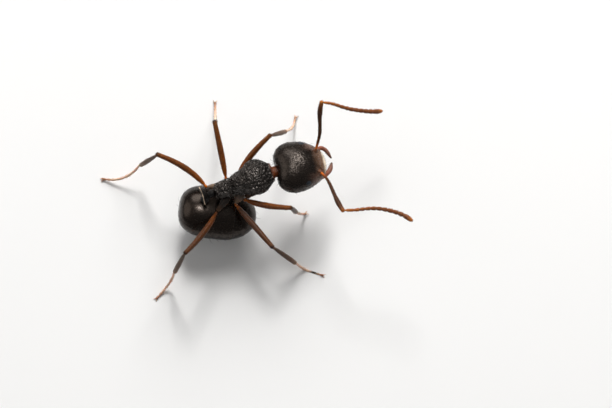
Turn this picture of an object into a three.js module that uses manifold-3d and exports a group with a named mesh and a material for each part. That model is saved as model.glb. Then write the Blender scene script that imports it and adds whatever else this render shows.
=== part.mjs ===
import * as THREE from 'three';
import { mergeVertices } from 'three/addons/utils/BufferGeometryUtils.js';
import Module from 'manifold-3d';

// A worker ant of the genus Dolichoderus, standing still, at life size.
// Millimetres, +Z up. The ant faces -Y, its left side is +X, and angles are in degrees.
// A heading is [azimuth, elevation]: azimuth 0 is straight ahead and grows toward the ant's left.

const wasm = await Module();
wasm.setup();

const GAP = 0.012; // clearance between neighbouring pieces
const FINEST = 0.0035; // detail smaller than this is closed up after a cut
const BODY_LEVEL = 1.457; // mid-height of the mesosoma above the floor
const LEG_LINE = -0.05; // x of the line midway between left and right leg bases

const HEAD = {
  at: [-0.064, -1.243, 1.435], yaw: -6, pitch: -8, boxy: 0.94, rearNotch: 0.05, notchWidth: 0.17,
};
const EYE = { along: 0.09, aside: 0.43, above: 0.165, long: 0.105, wide: 0.075, bulge: 0.06, lean: 52 };
const FOSSA = { along: 0.385, aside: 0.245, above: 0.195 };
const MANDIBLE = { radii: [0.048, 0.047, 0.043, 0.036, 0.018], flat: 0.8 };
const NECK = { from: [0, -0.5, 1.405], to: [-0.018, -0.87, 1.43], radii: [0.135, 0.128], flat: 0.74 };
const SCAPE = { length: 1.135, radii: [0.027, 0.03, 0.038, 0.041, 0.055, 0.046] };
const FUNICULUS = {
  length: 1.54, turns: 20, joints: [1.45, 1, 1, 1, 1, 1, 1, 1, 1, 1, 2.1], radii: [0.031, 0.054],
};
const DECLIVITY = { y: 0.845, z: 1.452, radius: 0.215 };
const GASTER = {
  at: [-0.296, 0.713, 0.6], yaw: -23, pitch: -11,
  long: 0.855, wide: 0.588, thick: 0.42, bluntTip: 2.25, bluntRear: 2.9, step: 0.012, end: 0.03, rows: 4,
};
const GASTER_PLATES = ['gaster_first', 'gaster_second', 'gaster_third', 'gaster_tip'];
const GASTER_EDGES = [1, 0.12, -0.38, -0.72, -1]; // rear end, three plate edges and tip, as shares of long
const THORAX_BOXY = 0.92;
const FLANK = { out: 0.065, y: 0.1, length: 0.26, level: -0.17, depth: 0.14, inner: 0.1 }; // swollen sides
const SWAY = { aside: -0.03, from: 0.2, to: 0.6 }; // the propodeum lies a little to the right
const SCALE_X = -0.029;

// Head: distance ahead of its middle, half width, height above and depth below.
const HEAD_SECTIONS = [
  [-0.53, 0.27, 0.14, 0.15],
  [-0.47, 0.42, 0.23, 0.22],
  [-0.35, 0.52, 0.3, 0.27],
  [-0.18, 0.565, 0.34, 0.31],
  [0.0, 0.553, 0.345, 0.32],
  [0.18, 0.505, 0.32, 0.3],
  [0.34, 0.42, 0.265, 0.27],
  [0.46, 0.335, 0.2, 0.23],
  [0.54, 0.22, 0.13, 0.17],
  [0.578, 0.1, 0.06, 0.09],
];

// Thorax and propodeum: y, half width, top and bottom from BODY_LEVEL.
const PRONOTUM = [
  [-0.645, 0.185, 0.1, -0.155],
  [-0.58, 0.23, 0.14, -0.178],
  [-0.5, 0.298, 0.19, -0.215],
  [-0.4, 0.364, 0.24, -0.25],
  [-0.28, 0.388, 0.27, -0.27],
  [-0.16, 0.36, 0.275, -0.27],
  [-0.06, 0.295, 0.265, -0.265],
];
const MESONOTUM = [
  [-0.06 + GAP, 0.287, 0.262, -0.265],
  [0.05, 0.235, 0.245, -0.28],
  [0.14, 0.205, 0.21, -0.29],
  [0.22, 0.178, 0.15, -0.29],
  [0.275, 0.165, 0.105, -0.285],
];
const PROPODEUM = [
  [0.275 + GAP, 0.165, 0.105, -0.285],
  [0.34, 0.17, 0.155, -0.28],
  [0.43, 0.175, 0.185, -0.275],
  [0.53, 0.17, 0.19, -0.265],
  [0.62, 0.158, 0.165, -0.25],
  [0.7, 0.13, 0.11, -0.235],
];

// Petiole: the stalk's path, and the upright scale as z, y, half width, half thickness.
const STALK = {
  path: [[0, 0.665, 1.305], [-0.02, 0.82, 1.24], [-0.07, 0.99, 1.085]], radii: [0.074, 0.07, 0.084],
};
const SCALE_SECTIONS = [
  [1.17, 0.885, 0.1, 0.07],
  [1.25, 0.9, 0.15, 0.062],
  [1.34, 0.925, 0.198, 0.05],
  [1.4, 0.942, 0.205, 0.036],
  [1.44, 0.953, 0.165, 0.022],
  [1.458, 0.958, 0.09, 0.012],
];

// Each leg pair: coxa base and segment lengths.
const PAIRS = {
  front: { base: [0.1, -0.2, 1.24], coxa: 0.36, femur: 1.14, tibia: 0.86 },
  middle: { base: [0.16, 0.165, 1.21], coxa: 0.27, femur: 1.27, tibia: 0.94 },
  hind: { base: [0.15, 0.46, 1.21], coxa: 0.39, femur: 1.28, tibia: 0.96 },
};
const LEG_RADII = {
  coxa: [0.078, 0.082, 0.062, 0.046],
  femur: [0.026, 0.054, 0.064, 0.067, 0.062, 0.055, 0.049],
  tibia: [0.03, 0.043, 0.05, 0.053, 0.047],
  tarsus: [0.034, 0.025],
};
const TARSOMERES = [0.46, 0.18, 0.13, 0.09, 0.14]; // shares of the tarsus
const CLAW = { length: 0.085, radius: 0.014, spread: 28, shape: [[0, 1], [0.45, 0.9], [0.85, 0.5]] };

// Each leg's stance: headings of its segments, how far the femur bows sideways, then the tarsus's azimuth,
// its reach over the floor, and how far it sags and swerves from a straight line.
const STANCE = [
  {
    pair: 'front', side: 1, coxa: [145.3, -23], femur: [30, 22.3], bow: 0.055, tibia: [24.6, -59.5],
    tarsus: 49.6, reach: 0.595, sag: 0.06, swerve: -0.06,
  },
  {
    pair: 'front', side: -1, coxa: [-151.6, -23.3], femur: [-35, 22.9], bow: -0.055, tibia: [32.5, -78.8],
    tarsus: 13.8, reach: 0.251, sag: 0.03, swerve: 0,
  },
  {
    pair: 'middle', side: 1, coxa: [139, -33], femur: [84, 22], bow: -0.008, tibia: [70, -74],
    tarsus: 73, reach: 0.615, sag: 0.1, swerve: 0,
  },
  {
    pair: 'middle', side: -1, coxa: [-139.3, -43.7], femur: [-68.8, 4.8], bow: 0, tibia: [-35.2, -57],
    tarsus: -36.2, reach: 0.661, sag: 0.18, swerve: 0,
  },
  {
    pair: 'hind', side: 1, coxa: [162, -20], femur: [131.2, 16], bow: -0.1, tibia: [158.4, -68.2],
    tarsus: 173.3, reach: 0.893, sag: 0.08, swerve: 0.12,
  },
  {
    pair: 'hind', side: -1, coxa: [-146, -13], femur: [-141.5, 19], bow: 0.05, tibia: [-159.5, -72.3],
    tarsus: -150.2, reach: 0.633, sag: 0.2, swerve: 0,
  },
];

// Each antenna: the scape's heading and how far it bends ahead on its way, then the funiculus's azimuth
// and elevation from its start to its tip.
const ANTENNAE = [
  {
    side: 1, scape: [63.8, 30.5], bends: [0, 0.028, 0.044, 0.026, -0.002, -0.014, 0],
    azimuth: [-9.4, -26.4, -18.2, -12.7, -3.2], elevation: [-38, -35.7, -33.2, -30.8, -28.2],
  },
  {
    side: -1, scape: [-80.3, 13.9], bends: [0, 0.044, 0.044, 0.023, 0.003, -0.007, 0],
    azimuth: [-22.5, -13.8, -27.4, -39.3, -58.1], elevation: [14.5, 11.2, 7.9, 4.8, 1.8],
  },
];
// Mandible paths in the head's frame: [ahead, aside, above].
const JAWS = [
  {
    side: 1,
    path: [
      [0.43, 0.31, -0.145], [0.56, 0.375, -0.16], [0.655, 0.335, -0.17], [0.72, 0.235, -0.178],
      [0.765, 0.11, -0.18],
    ],
  },
  {
    side: -1,
    path: [
      [0.42, -0.29, -0.145], [0.52, -0.25, -0.158], [0.61, -0.2, -0.168], [0.695, -0.118, -0.174],
      [0.755, 0.02, -0.18],
    ],
  },
];

const COLOURS = {
  head: 0x2a2725, thorax: 0x1b1a1a, neck: 0x7a3a22, eye: 0x1a2226, mandible: 0x8a4630, scape: 0x5a3626,
  funiculus: 0x9a542c, petiole: 0x3a2c26, gaster: 0x1c1512, coxa: 0x4a4038, femur: 0x9a5524, tibia: 0x5c4636,
  tarsus: 0xc79a7c,
};

const rad = THREE.MathUtils.degToRad;
const X_AXIS = new THREE.Vector3(1, 0, 0);
const Y_AXIS = new THREE.Vector3(0, 1, 0);
const Z_AXIS = new THREE.Vector3(0, 0, 1);
const vec = (list) => new THREE.Vector3(...list);
const sideName = (side) => (side > 0 ? 'left' : 'right');

function headingVector([azimuth, elevation]) {
  const ahead = new THREE.Vector3(0, -Math.cos(rad(elevation)), Math.sin(rad(elevation)));
  return ahead.applyAxisAngle(Z_AXIS, rad(azimuth));
}

// A smooth value part-way along a list of numbers.
function blend(values, share) {
  const place = share * (values.length - 1);
  const i = Math.min(Math.floor(place), values.length - 2);
  const near = (k) => values[THREE.MathUtils.clamp(k, 0, values.length - 1)];
  const [a, b, c, d] = [near(i - 1), near(i), near(i + 1), near(i + 2)];
  const t = place - i;
  return b + 0.5 * t * (c - a + t * (2 * a - 5 * b + 4 * c - d + t * (3 * (b - c) + d - a)));
}

const bell = (value, width) => Math.exp(-((value / width) ** 2));

// Rows of numbers, smoothed and spread over count steps.
function resample(rows, count) {
  const columns = rows[0].map((_, j) => rows.map((row) => row[j]));
  return Array.from({ length: count + 1 }, (_, k) => columns.map((column) => blend(column, k / count)));
}

// Points round an oval that faces along tangent; boxy under 1 squares its corners.
function oval(centre, tangent, across, wide, high, sides, boxy = 1) {
  const out = across.clone().addScaledVector(tangent, -across.dot(tangent)).normalize();
  const up = tangent.clone().cross(out);
  const bend = (value) => Math.sign(value) * Math.abs(value) ** boxy;
  return Array.from({ length: sides }, (_, j) => {
    const angle = (2 * Math.PI * (j + 0.5)) / sides;
    const point = centre.clone().addScaledVector(out, wide * bend(Math.cos(angle)));
    return point.addScaledVector(up, high * bend(Math.sin(angle)));
  });
}

// A closed skin over rings of equal length, ending in a point at each end.
function skin(rings, firstPoint, lastPoint) {
  const sides = rings[0].length;
  const points = [...rings.flat(), firstPoint, lastPoint];
  const last = (rings.length - 1) * sides;
  const faces = [];
  for (let j = 0; j < sides; j += 1) {
    const next = (j + 1) % sides;
    faces.push(next, j, points.length - 2);
    faces.push(last + j, last + next, points.length - 1);
    for (let row = 0; row < last; row += sides) {
      faces.push(row + j, row + next, row + next + sides);
      faces.push(row + j, row + next + sides, row + j + sides);
    }
  }
  return new THREE.BufferGeometry().setFromPoints(points).setIndex(faces);
}

// A round skin along a curve, through stations of [distance along it, radius].
function sweep(curve, stations, { sides = 8, across = X_AXIS, flat = 1, ends } = {}) {
  const length = curve.getLength();
  const placeAt = (distance) => {
    const share = THREE.MathUtils.clamp(distance / length, 0, 1);
    const tangent = curve.getTangentAt(share);
    return [curve.getPointAt(share).addScaledVector(tangent, distance - share * length), tangent];
  };
  const rings = stations.map(([distance, radius]) => {
    const [centre, tangent] = placeAt(distance);
    return oval(centre, tangent, across, radius, radius * flat, sides);
  });
  return skin(rings, placeAt(ends[0])[0], placeAt(ends[1])[0]);
}

// A tube with domed ends whose radii are blended from a list; grow thickens it all round.
function tube(curve, radii, { steps = 7, grow = 0, ...rest } = {}) {
  const ends = [-grow, curve.getLength() + grow];
  const [first, last] = [radii[0] + grow, radii.at(-1) + grow];
  const dome = [35, 65].map((angle) => [1 - Math.cos(rad(angle)), Math.sin(rad(angle))]);
  const stations = dome.map(([depth, size]) => [ends[0] + depth * first, size * first]);
  for (let i = 0; i <= steps; i += 1) {
    const distance = THREE.MathUtils.lerp(ends[0] + first, ends[1] - last, i / steps);
    stations.push([distance, blend(radii, i / steps) + grow]);
  }
  stations.push(...dome.reverse().map(([depth, size]) => [ends[1] - depth * last, size * last]));
  return sweep(curve, stations, { ...rest, ends });
}

// One joint as shares of its length and of its full radius: it swells toward its far end.
const JOINT_SHAPE = [[0, 0.74], [0.42, 0.95], [0.84, 1]];
const LAST_JOINT_SHAPE = [[0, 0.74], [0.3, 1], [0.62, 0.98], [0.88, 0.66]];

// A row of joints along a curve.
function beads(curve, shares, [radiusFrom, radiusTo], rest) {
  const length = curve.getLength();
  const whole = shares.reduce((sum, share) => sum + share);
  const stations = [];
  let from = 0;
  shares.forEach((share, i) => {
    const size = (length * share) / whole;
    const full = THREE.MathUtils.lerp(radiusFrom, radiusTo, ((from + size / 2) / length) ** 0.8);
    const shape = i + 1 === shares.length ? LAST_JOINT_SHAPE : JOINT_SHAPE;
    stations.push(...shape.map(([along, width]) => [from + size * along, full * width]));
    from += size;
  });
  return sweep(curve, stations, { ...rest, ends: [-0.3 * radiusFrom, length] });
}

// Ovals across Y from rows of [y, half width, top, bottom].
function loft(rows, sides, boxy) {
  const centres = rows.map(([y, , top, bottom]) => vec([0, y, (top + bottom) / 2]));
  const rings = rows.map(([, wide, top, bottom], i) => {
    return oval(centres[i], Y_AXIS, X_AXIS, wide, (top - bottom) / 2, sides, boxy);
  });
  return skin(rings, centres[0], centres.at(-1));
}

function solidOf(geometry) {
  const vertProperties = new Float32Array(geometry.attributes.position.array);
  const triVerts = new Uint32Array(geometry.index.array);
  return new wasm.Manifold(new wasm.Mesh({ numProp: 3, vertProperties, triVerts }));
}

function geometryOf(solid) {
  const mesh = solid.simplify(FINEST).getMesh();
  const geometry = new THREE.BufferGeometry();
  geometry.setAttribute('position', new THREE.Float32BufferAttribute(mesh.vertProperties, 3));
  geometry.setIndex([...mesh.triVerts]);
  return geometry;
}

function cut(geometry, tools) {
  return geometryOf(tools.reduce((rest, tool) => rest.subtract(solidOf(tool)), solidOf(geometry)));
}

function join(geometries) {
  return geometryOf(geometries.map(solidOf).reduce((all, next) => all.add(next)));
}

function warp(geometry, move) {
  const position = geometry.attributes.position;
  for (let i = 0; i < position.count; i += 1) {
    const point = move(new THREE.Vector3().fromBufferAttribute(position, i));
    position.setXYZ(i, point.x, point.y, point.z);
  }
  return geometry;
}

// A unit ball or can from three, with its doubled vertices merged.
function merged(geometry) {
  geometry.deleteAttribute('normal');
  geometry.deleteAttribute('uv');
  return mergeVertices(geometry);
}

function piece(name, geometry, colour, roughness) {
  geometry.computeVertexNormals();
  const material = new THREE.MeshStandardMaterial({ color: colour, roughness, metalness: 0 });
  const mesh = new THREE.Mesh(geometry, material);
  mesh.name = name;
  return mesh;
}

// A group whose own -Y is turned by yaw, and tipped down where pitch is negative.
function frameAt({ at, yaw, pitch }) {
  const group = new THREE.Group();
  group.position.set(...at);
  group.rotation.set(rad(-pitch), 0, rad(yaw), 'ZXY');
  group.updateMatrixWorld();
  return group;
}

const toFrame = (geometry, group) => geometry.applyMatrix4(group.matrixWorld.clone().invert());

const ant = new THREE.Group();

// ---- Head

const headFrame = frameAt(HEAD);
ant.add(headFrame);
const inHead = ([ahead, aside, above]) => vec([aside, -ahead, above]);

function eyeball(side, grow) {
  const ball = merged(new THREE.SphereGeometry(1, 10, 7));
  ball.scale(EYE.bulge + grow, EYE.long + grow, EYE.wide + grow);
  ball.rotateY(rad(-side * EYE.lean));
  return ball.translate(...inHead([EYE.along, side * EYE.aside, EYE.above]));
}

function mandible(jaw, grow) {
  const curve = new THREE.CatmullRomCurve3(jaw.path.map(inHead));
  return tube(curve, MANDIBLE.radii, { steps: 4, flat: MANDIBLE.flat, grow, across: Z_AXIS });
}

// The scape runs from its socket along its heading, with slight bends ahead and back.
function scapeCurve(antenna) {
  const start = headFrame.localToWorld(inHead([FOSSA.along, antenna.side * FOSSA.aside, FOSSA.above]));
  const along = headingVector(antenna.scape);
  const ahead = vec([0, -1, 0]).addScaledVector(along, along.y).normalize();
  const points = antenna.bends.map((bend, i) => {
    const point = start.clone().addScaledVector(along, (SCAPE.length * i) / (antenna.bends.length - 1));
    return point.addScaledVector(ahead, bend);
  });
  return new THREE.CatmullRomCurve3(points);
}

function scape(antenna, grow) {
  return tube(scapeCurve(antenna), SCAPE.radii, { steps: 6, grow, across: Z_AXIS });
}

function headShell() {
  const rows = resample(HEAD_SECTIONS, 13).reverse();
  const sections = rows.map(([ahead, wide, above, below]) => [-ahead, wide, above, -below]);
  const shell = loft(sections, 24, HEAD.boxy);
  warp(shell, (p) => {
    const rear = THREE.MathUtils.smoothstep(p.y, 0.2, 0.53);
    return p.setY(p.y - HEAD.rearNotch * rear * bell(p.x, HEAD.notchWidth));
  });
  const tools = [1, -1].map((side) => eyeball(side, GAP));
  tools.push(...JAWS.map((jaw) => mandible(jaw, GAP)));
  tools.push(...ANTENNAE.map((antenna) => toFrame(scape(antenna, GAP), headFrame)));
  tools.push(toFrame(neck(GAP), headFrame));
  return cut(shell, tools);
}

headFrame.add(piece('head', headShell(), COLOURS.head, 0.45));
for (const jaw of JAWS) {
  headFrame.add(piece(`eye_${sideName(jaw.side)}`, eyeball(jaw.side, 0), COLOURS.eye, 0.2));
  headFrame.add(piece(`mandible_${sideName(jaw.side)}`, mandible(jaw, 0), COLOURS.mandible, 0.35));
}

// ---- Antennae

function funiculus(antenna) {
  const headingAt = (t) => headingVector([blend(antenna.azimuth, t), blend(antenna.elevation, t)]);
  const end = SCAPE.radii.at(-1);
  const at = scapeCurve(antenna).getPointAt(1 - end / SCAPE.length);
  at.addScaledVector(headingAt(0), end + 2 * GAP);
  const points = [at.clone()];
  for (let i = 0; i < FUNICULUS.turns; i += 1) {
    at.addScaledVector(headingAt((i + 0.5) / FUNICULUS.turns), FUNICULUS.length / FUNICULUS.turns);
    points.push(at.clone());
  }
  const curve = new THREE.CatmullRomCurve3(points);
  return beads(curve, FUNICULUS.joints, FUNICULUS.radii, { across: Z_AXIS, sides: 6 });
}

for (const antenna of ANTENNAE) {
  const side = sideName(antenna.side);
  ant.add(piece(`scape_${side}`, scape(antenna, 0), COLOURS.scape, 0.4));
  ant.add(piece(`funiculus_${side}`, funiculus(antenna), COLOURS.funiculus, 0.5));
}

// ---- Legs: coxa, femur and tibia are each made along their own +Z, then turned to their heading.

function segment(radii, from, to, heading, at, { bow = 0, ...rest } = {}) {
  const bend = vec([2 * bow, 0, THREE.MathUtils.lerp(from, to, 0.42)]);
  const line = new THREE.QuadraticBezierCurve3(vec([0, 0, from]), bend, vec([0, 0, to]));
  const along = headingVector(heading);
  const across = vec([-along.y, along.x, 0]).normalize();
  const up = along.clone().cross(across);
  const turned = new THREE.Matrix4().makeBasis(across, up, along).setPosition(at);
  return tube(line, radii, rest).applyMatrix4(turned);
}

// One leg's joints, from the coxa's base to the far end of the tibia.
function jointsOf(leg) {
  const [aside, y, z] = PAIRS[leg.pair].base;
  const joints = [vec([LEG_LINE + leg.side * aside, y, z])];
  for (const part of ['coxa', 'femur', 'tibia']) {
    joints.push(joints.at(-1).clone().addScaledVector(headingVector(leg[part]), PAIRS[leg.pair][part]));
  }
  return joints;
}

function coxa(leg, grow) {
  const end = PAIRS[leg.pair].coxa - LEG_RADII.femur[0] - GAP;
  return segment(LEG_RADII.coxa, -LEG_RADII.coxa[0], end, leg.coxa, jointsOf(leg)[0], { grow, steps: 3 });
}

function claw(root, heading) {
  const ahead = headingVector([heading, 0]);
  const tip = root.clone().addScaledVector(ahead, CLAW.length).setZ(0);
  const arch = root.clone().addScaledVector(ahead, CLAW.length * 0.75).setZ(root.z * 1.3);
  const curve = new THREE.QuadraticBezierCurve3(root, arch, tip);
  const stations = CLAW.shape.map(([t, size]) => [t * CLAW.length, size * CLAW.radius]);
  return sweep(curve, stations, { sides: 4, across: vec([-ahead.y, ahead.x, 0]), ends: [0, CLAW.length] });
}

// The tarsus drops to the floor in an arc, and its sole is flat.
function tarsus(leg, ankle) {
  const out = headingVector([leg.tarsus, 0]);
  const across = vec([-out.y, out.x, 0]);
  const foot = ankle.clone().addScaledVector(out, leg.reach).setZ(LEG_RADII.tarsus.at(-1) * 0.8);
  const along = foot.clone().sub(ankle).normalize();
  const start = ankle.clone().addScaledVector(along, LEG_RADII.tibia.at(-1) + GAP);
  const inward = along.clone().multiplyScalar(out.dot(along)).sub(out).normalize();
  const middle = start.clone().lerp(foot, 0.5).addScaledVector(inward, 2 * leg.sag);
  const curve = new THREE.QuadraticBezierCurve3(start, middle.addScaledVector(across, 2 * leg.swerve), foot);
  const toes = beads(curve, TARSOMERES, LEG_RADII.tarsus, { across, sides: 6 });
  const claws = [1, -1].map((side) => claw(curve.getPointAt(0.95), leg.tarsus + side * CLAW.spread));
  return warp(join([toes, ...claws]), (p) => p.setZ(Math.max(p.z, 0)));
}

for (const leg of STANCE) {
  const [, hip, knee, ankle] = jointsOf(leg);
  const name = `${leg.pair}_${sideName(leg.side)}`;
  const kneeRadius = LEG_RADII.femur.at(-1);
  const femurEnd = PAIRS[leg.pair].femur + kneeRadius;
  const tibiaEnd = PAIRS[leg.pair].tibia + LEG_RADII.tibia.at(-1);
  const bend = { bow: leg.bow, steps: 5 };
  const femur = segment(LEG_RADII.femur, -LEG_RADII.femur[0], femurEnd, leg.femur, hip, bend);
  const tibia = segment(LEG_RADII.tibia, kneeRadius + GAP, tibiaEnd, leg.tibia, knee, { steps: 4 });
  ant.add(piece(`coxa_${name}`, coxa(leg, 0), COLOURS.coxa, 0.5));
  ant.add(piece(`femur_${name}`, femur, COLOURS.femur, 0.35));
  ant.add(piece(`tibia_${name}`, tibia, COLOURS.tibia, 0.4));
  ant.add(piece(`tarsus_${name}`, tarsus(leg, ankle), COLOURS.tarsus, 0.5));
}

// ---- Neck, thorax and propodeum

// The thorax's sides swell low down, and its rear sways aside.
function swell(point) {
  const low = point.z - BODY_LEVEL;
  const out = FLANK.out * bell(point.y - FLANK.y, FLANK.length) * bell(low - FLANK.level, FLANK.depth);
  const side = THREE.MathUtils.clamp(point.x / FLANK.inner, -1, 1);
  const sway = SWAY.aside * THREE.MathUtils.smoothstep(point.y, SWAY.from, SWAY.to);
  return point.setX(point.x + out * side + sway);
}

function section(rows, count) {
  const raised = rows.map(([y, wide, top, bottom]) => [y, wide, top + BODY_LEVEL, bottom + BODY_LEVEL]);
  return warp(loft(resample(raised, count), 20, THORAX_BOXY), swell);
}

const coxae = (pair) => STANCE.filter((leg) => leg.pair === pair).map((leg) => coxa(leg, GAP));

function neck(grow) {
  const line = new THREE.LineCurve3(vec(NECK.from), vec(NECK.to));
  return tube(line, NECK.radii, { steps: 1, flat: NECK.flat, grow });
}

function stalk(grow) {
  return tube(new THREE.CatmullRomCurve3(STALK.path.map(vec)), STALK.radii, { steps: 4, sides: 10, grow });
}

const hollow = merged(new THREE.CylinderGeometry(DECLIVITY.radius, DECLIVITY.radius, 1, 16, 1));
hollow.rotateZ(Math.PI / 2).translate(0, DECLIVITY.y, DECLIVITY.z);

const pronotum = cut(section(PRONOTUM, 7), [neck(GAP), ...coxae('front')]);
const mesonotum = cut(section(MESONOTUM, 4), [...coxae('front'), ...coxae('middle')]);
const propodeum = cut(section(PROPODEUM, 6), [hollow, stalk(GAP), ...coxae('middle'), ...coxae('hind')]);
ant.add(piece('neck', neck(0), COLOURS.neck, 0.35));
ant.add(piece('pronotum', pronotum, COLOURS.thorax, 0.5));
ant.add(piece('mesonotum', mesonotum, COLOURS.thorax, 0.5));
ant.add(piece('propodeum', propodeum, COLOURS.thorax, 0.5));

// ---- Petiole: a stalk with an upright scale

function scalePlate() {
  const rows = resample(SCALE_SECTIONS, 6);
  const centres = rows.map(([z, y]) => vec([SCALE_X, y, z]));
  const rings = rows.map(([, , wide, thick], i) => oval(centres[i], Z_AXIS, X_AXIS, wide, thick, 12));
  return skin(rings, centres[0], centres.at(-1));
}

ant.add(piece('petiole', join([stalk(0), scalePlate()]), COLOURS.petiole, 0.4));

// ---- Gaster: four ringed plates along a blunt egg

const gasterFrame = frameAt(GASTER);
ant.add(gasterFrame);

// Size of the egg's section at a share of its half length, from 1 at the rear to -1 at the tip.
function girth(share) {
  const blunt = share > 0 ? GASTER.bluntRear : GASTER.bluntTip;
  return (1 - Math.abs(share) ** blunt) ** (1 / blunt);
}

function plate(index) {
  const scale = 1 - GASTER.step * index;
  const turns = [GASTER_EDGES[index + 1], GASTER_EDGES[index]].map((edge) => Math.asin(edge));
  const rows = [];
  for (let i = 0; i <= GASTER.rows; i += 1) {
    const share = Math.sin(THREE.MathUtils.lerp(...turns, i / GASTER.rows));
    const size = Math.max(girth(share), GASTER.end) * scale;
    const gap = i === GASTER.rows ? GAP : 0;
    rows.push([share * GASTER.long - gap, GASTER.wide * size, GASTER.thick * size, -GASTER.thick * size]);
  }
  return loft(rows, 20);
}

GASTER_PLATES.forEach((name, index) => {
  const shell = plate(index);
  const geometry = index === 0 ? cut(shell, [toFrame(stalk(GAP), gasterFrame)]) : shell;
  gasterFrame.add(piece(name, geometry, COLOURS.gaster, 0.3));
});

// ---- The floor point below the middle of the whole ant becomes the origin.

const box = new THREE.Box3().setFromObject(ant, true);
const middle = box.getCenter(new THREE.Vector3());
ant.position.set(-middle.x, -middle.y, -box.min.z);

export default ant;
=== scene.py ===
import math
import bpy
import bmesh
import numpy as np
from mathutils import Matrix, Vector, noise
from mathutils.kdtree import KDTree


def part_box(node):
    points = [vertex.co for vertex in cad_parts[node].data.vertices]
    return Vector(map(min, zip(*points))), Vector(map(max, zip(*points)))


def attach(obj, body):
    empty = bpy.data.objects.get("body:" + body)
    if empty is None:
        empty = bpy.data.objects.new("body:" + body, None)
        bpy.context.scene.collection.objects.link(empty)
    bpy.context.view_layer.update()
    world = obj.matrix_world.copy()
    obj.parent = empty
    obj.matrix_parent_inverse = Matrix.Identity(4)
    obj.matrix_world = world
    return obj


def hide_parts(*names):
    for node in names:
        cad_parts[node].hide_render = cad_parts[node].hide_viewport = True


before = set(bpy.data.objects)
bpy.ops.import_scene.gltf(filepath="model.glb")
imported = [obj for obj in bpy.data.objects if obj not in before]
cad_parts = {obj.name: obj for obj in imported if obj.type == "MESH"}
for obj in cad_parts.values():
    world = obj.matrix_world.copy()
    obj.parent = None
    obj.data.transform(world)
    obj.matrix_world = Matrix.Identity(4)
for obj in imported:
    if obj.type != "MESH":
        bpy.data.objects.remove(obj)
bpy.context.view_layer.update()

# Pieces are shaped in millimetres, with the thorax on the x = 0 plane and the ant facing -Y.
# toFrame then carries them into the frame, in metres, where the solids stand.
millimetre = 0.001
thoraxFront = -0.645
low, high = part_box("pronotum")
shift = Vector(((low.x + high.x) / 2 / millimetre, low.y / millimetre - thoraxFront, 0))
toFrame = Matrix.Scale(millimetre, 4) @ Matrix.Translation(shift)
sidewise, frontwise, upright = Vector((1, 0, 0)), Vector((0, -1, 0)), Vector((0, 0, 1))


def heading(azimuth, elevation):
    # azimuth 0 is straight ahead and grows toward the ant's left
    across = math.cos(math.radians(elevation))
    turn = math.radians(azimuth)
    return Vector((math.sin(turn) * across, -math.cos(turn) * across, math.sin(math.radians(elevation))))


def blend(values, share):
    # a smooth curve through the values, read at a share of its length
    place = max(0.0, min(1.0, share)) * (len(values) - 1)
    i = min(int(place), len(values) - 2)
    a, b, c, d = (values[max(0, min(len(values) - 1, k))] for k in (i - 1, i, i + 1, i + 2))
    t = place - i
    return b + 0.5 * t * (c - a + t * (2 * a - 5 * b + 4 * c - d + t * (3 * (b - c) + d - a)))


def blendRow(rows, share):
    return [blend(column, share) for column in zip(*rows)]


def smooth(low, high, value):
    t = max(0.0, min(1.0, (value - low) / (high - low)))
    return t * t * (3 - 2 * t)


def bell(value, width):
    return math.exp(-((value / width) ** 2))


class Path:
    def __init__(self, points):
        self.points = points
        self.marks = [0.0]
        for before, after in zip(points, points[1:]):
            self.marks.append(self.marks[-1] + (after - before).length)
        self.length = self.marks[-1]

    def at(self, distance):
        # the place and direction at a distance along, running straight on past both ends
        reach = max(0.0, min(self.length, distance))
        i = max(1, min(len(self.marks) - 1, int(np.searchsorted(self.marks, reach))))
        before, after = self.points[i - 1], self.points[i]
        step = self.marks[i] - self.marks[i - 1]
        share = (reach - self.marks[i - 1]) / step
        near = (self.points[min(i + 1, len(self.points) - 1)] - self.points[i - 1]).normalized()
        back = (self.points[i] - self.points[max(i - 2, 0)]).normalized()
        direction = back.lerp(near, share).normalized()
        return before.lerp(after, share) + direction * (distance - reach), direction


def curvePath(points, count=60):
    columns = list(zip(*points))
    return Path([Vector([blend(column, i / count) for column in columns]) for i in range(count + 1)])


def arcPath(start, middle, end, count=40):
    spots = []
    for i in range(count + 1):
        t = i / count
        spots.append(start * (1 - t) ** 2 + middle * (2 * t * (1 - t)) + end * t * t)
    return Path(spots)


def sweep(mesh, path, stations, sides, across, flat=1.0):
    # a closed round skin: a circle is extruded from station to station of [distance, radius]
    along, around = (mesh.verts.layers.float[name] for name in ("along", "around"))
    ring = bmesh.ops.create_circle(mesh, segments=sides, radius=1)["verts"]
    for i, vert in enumerate(ring):
        vert[around] = i / sides
    edges = list({edge for vert in ring for edge in vert.link_edges})
    rims, made, previous = [edges], list(ring), Matrix.Identity(4)
    for i, (distance, radius) in enumerate(stations):
        if i:
            grown = bmesh.ops.extrude_edge_only(mesh, edges=edges)["geom"]
            ring = [part for part in grown if isinstance(part, bmesh.types.BMVert)]
            edges = [part for part in grown if isinstance(part, bmesh.types.BMEdge) and part.is_boundary]
            made += ring
        centre, direction = path.at(distance)
        out = (across - direction * across.dot(direction)).normalized()
        up = direction.cross(out)
        now = Matrix((out * radius, up * radius * flat, direction)).transposed().to_4x4()
        now.translation = centre
        bmesh.ops.transform(mesh, matrix=now @ previous.inverted(), verts=ring)
        previous = now
        for vert in ring:
            vert[along] = distance / path.length
    rims.append(edges)
    for rim in rims:
        bmesh.ops.edgeloop_fill(mesh, edges=rim)
    return made


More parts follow.
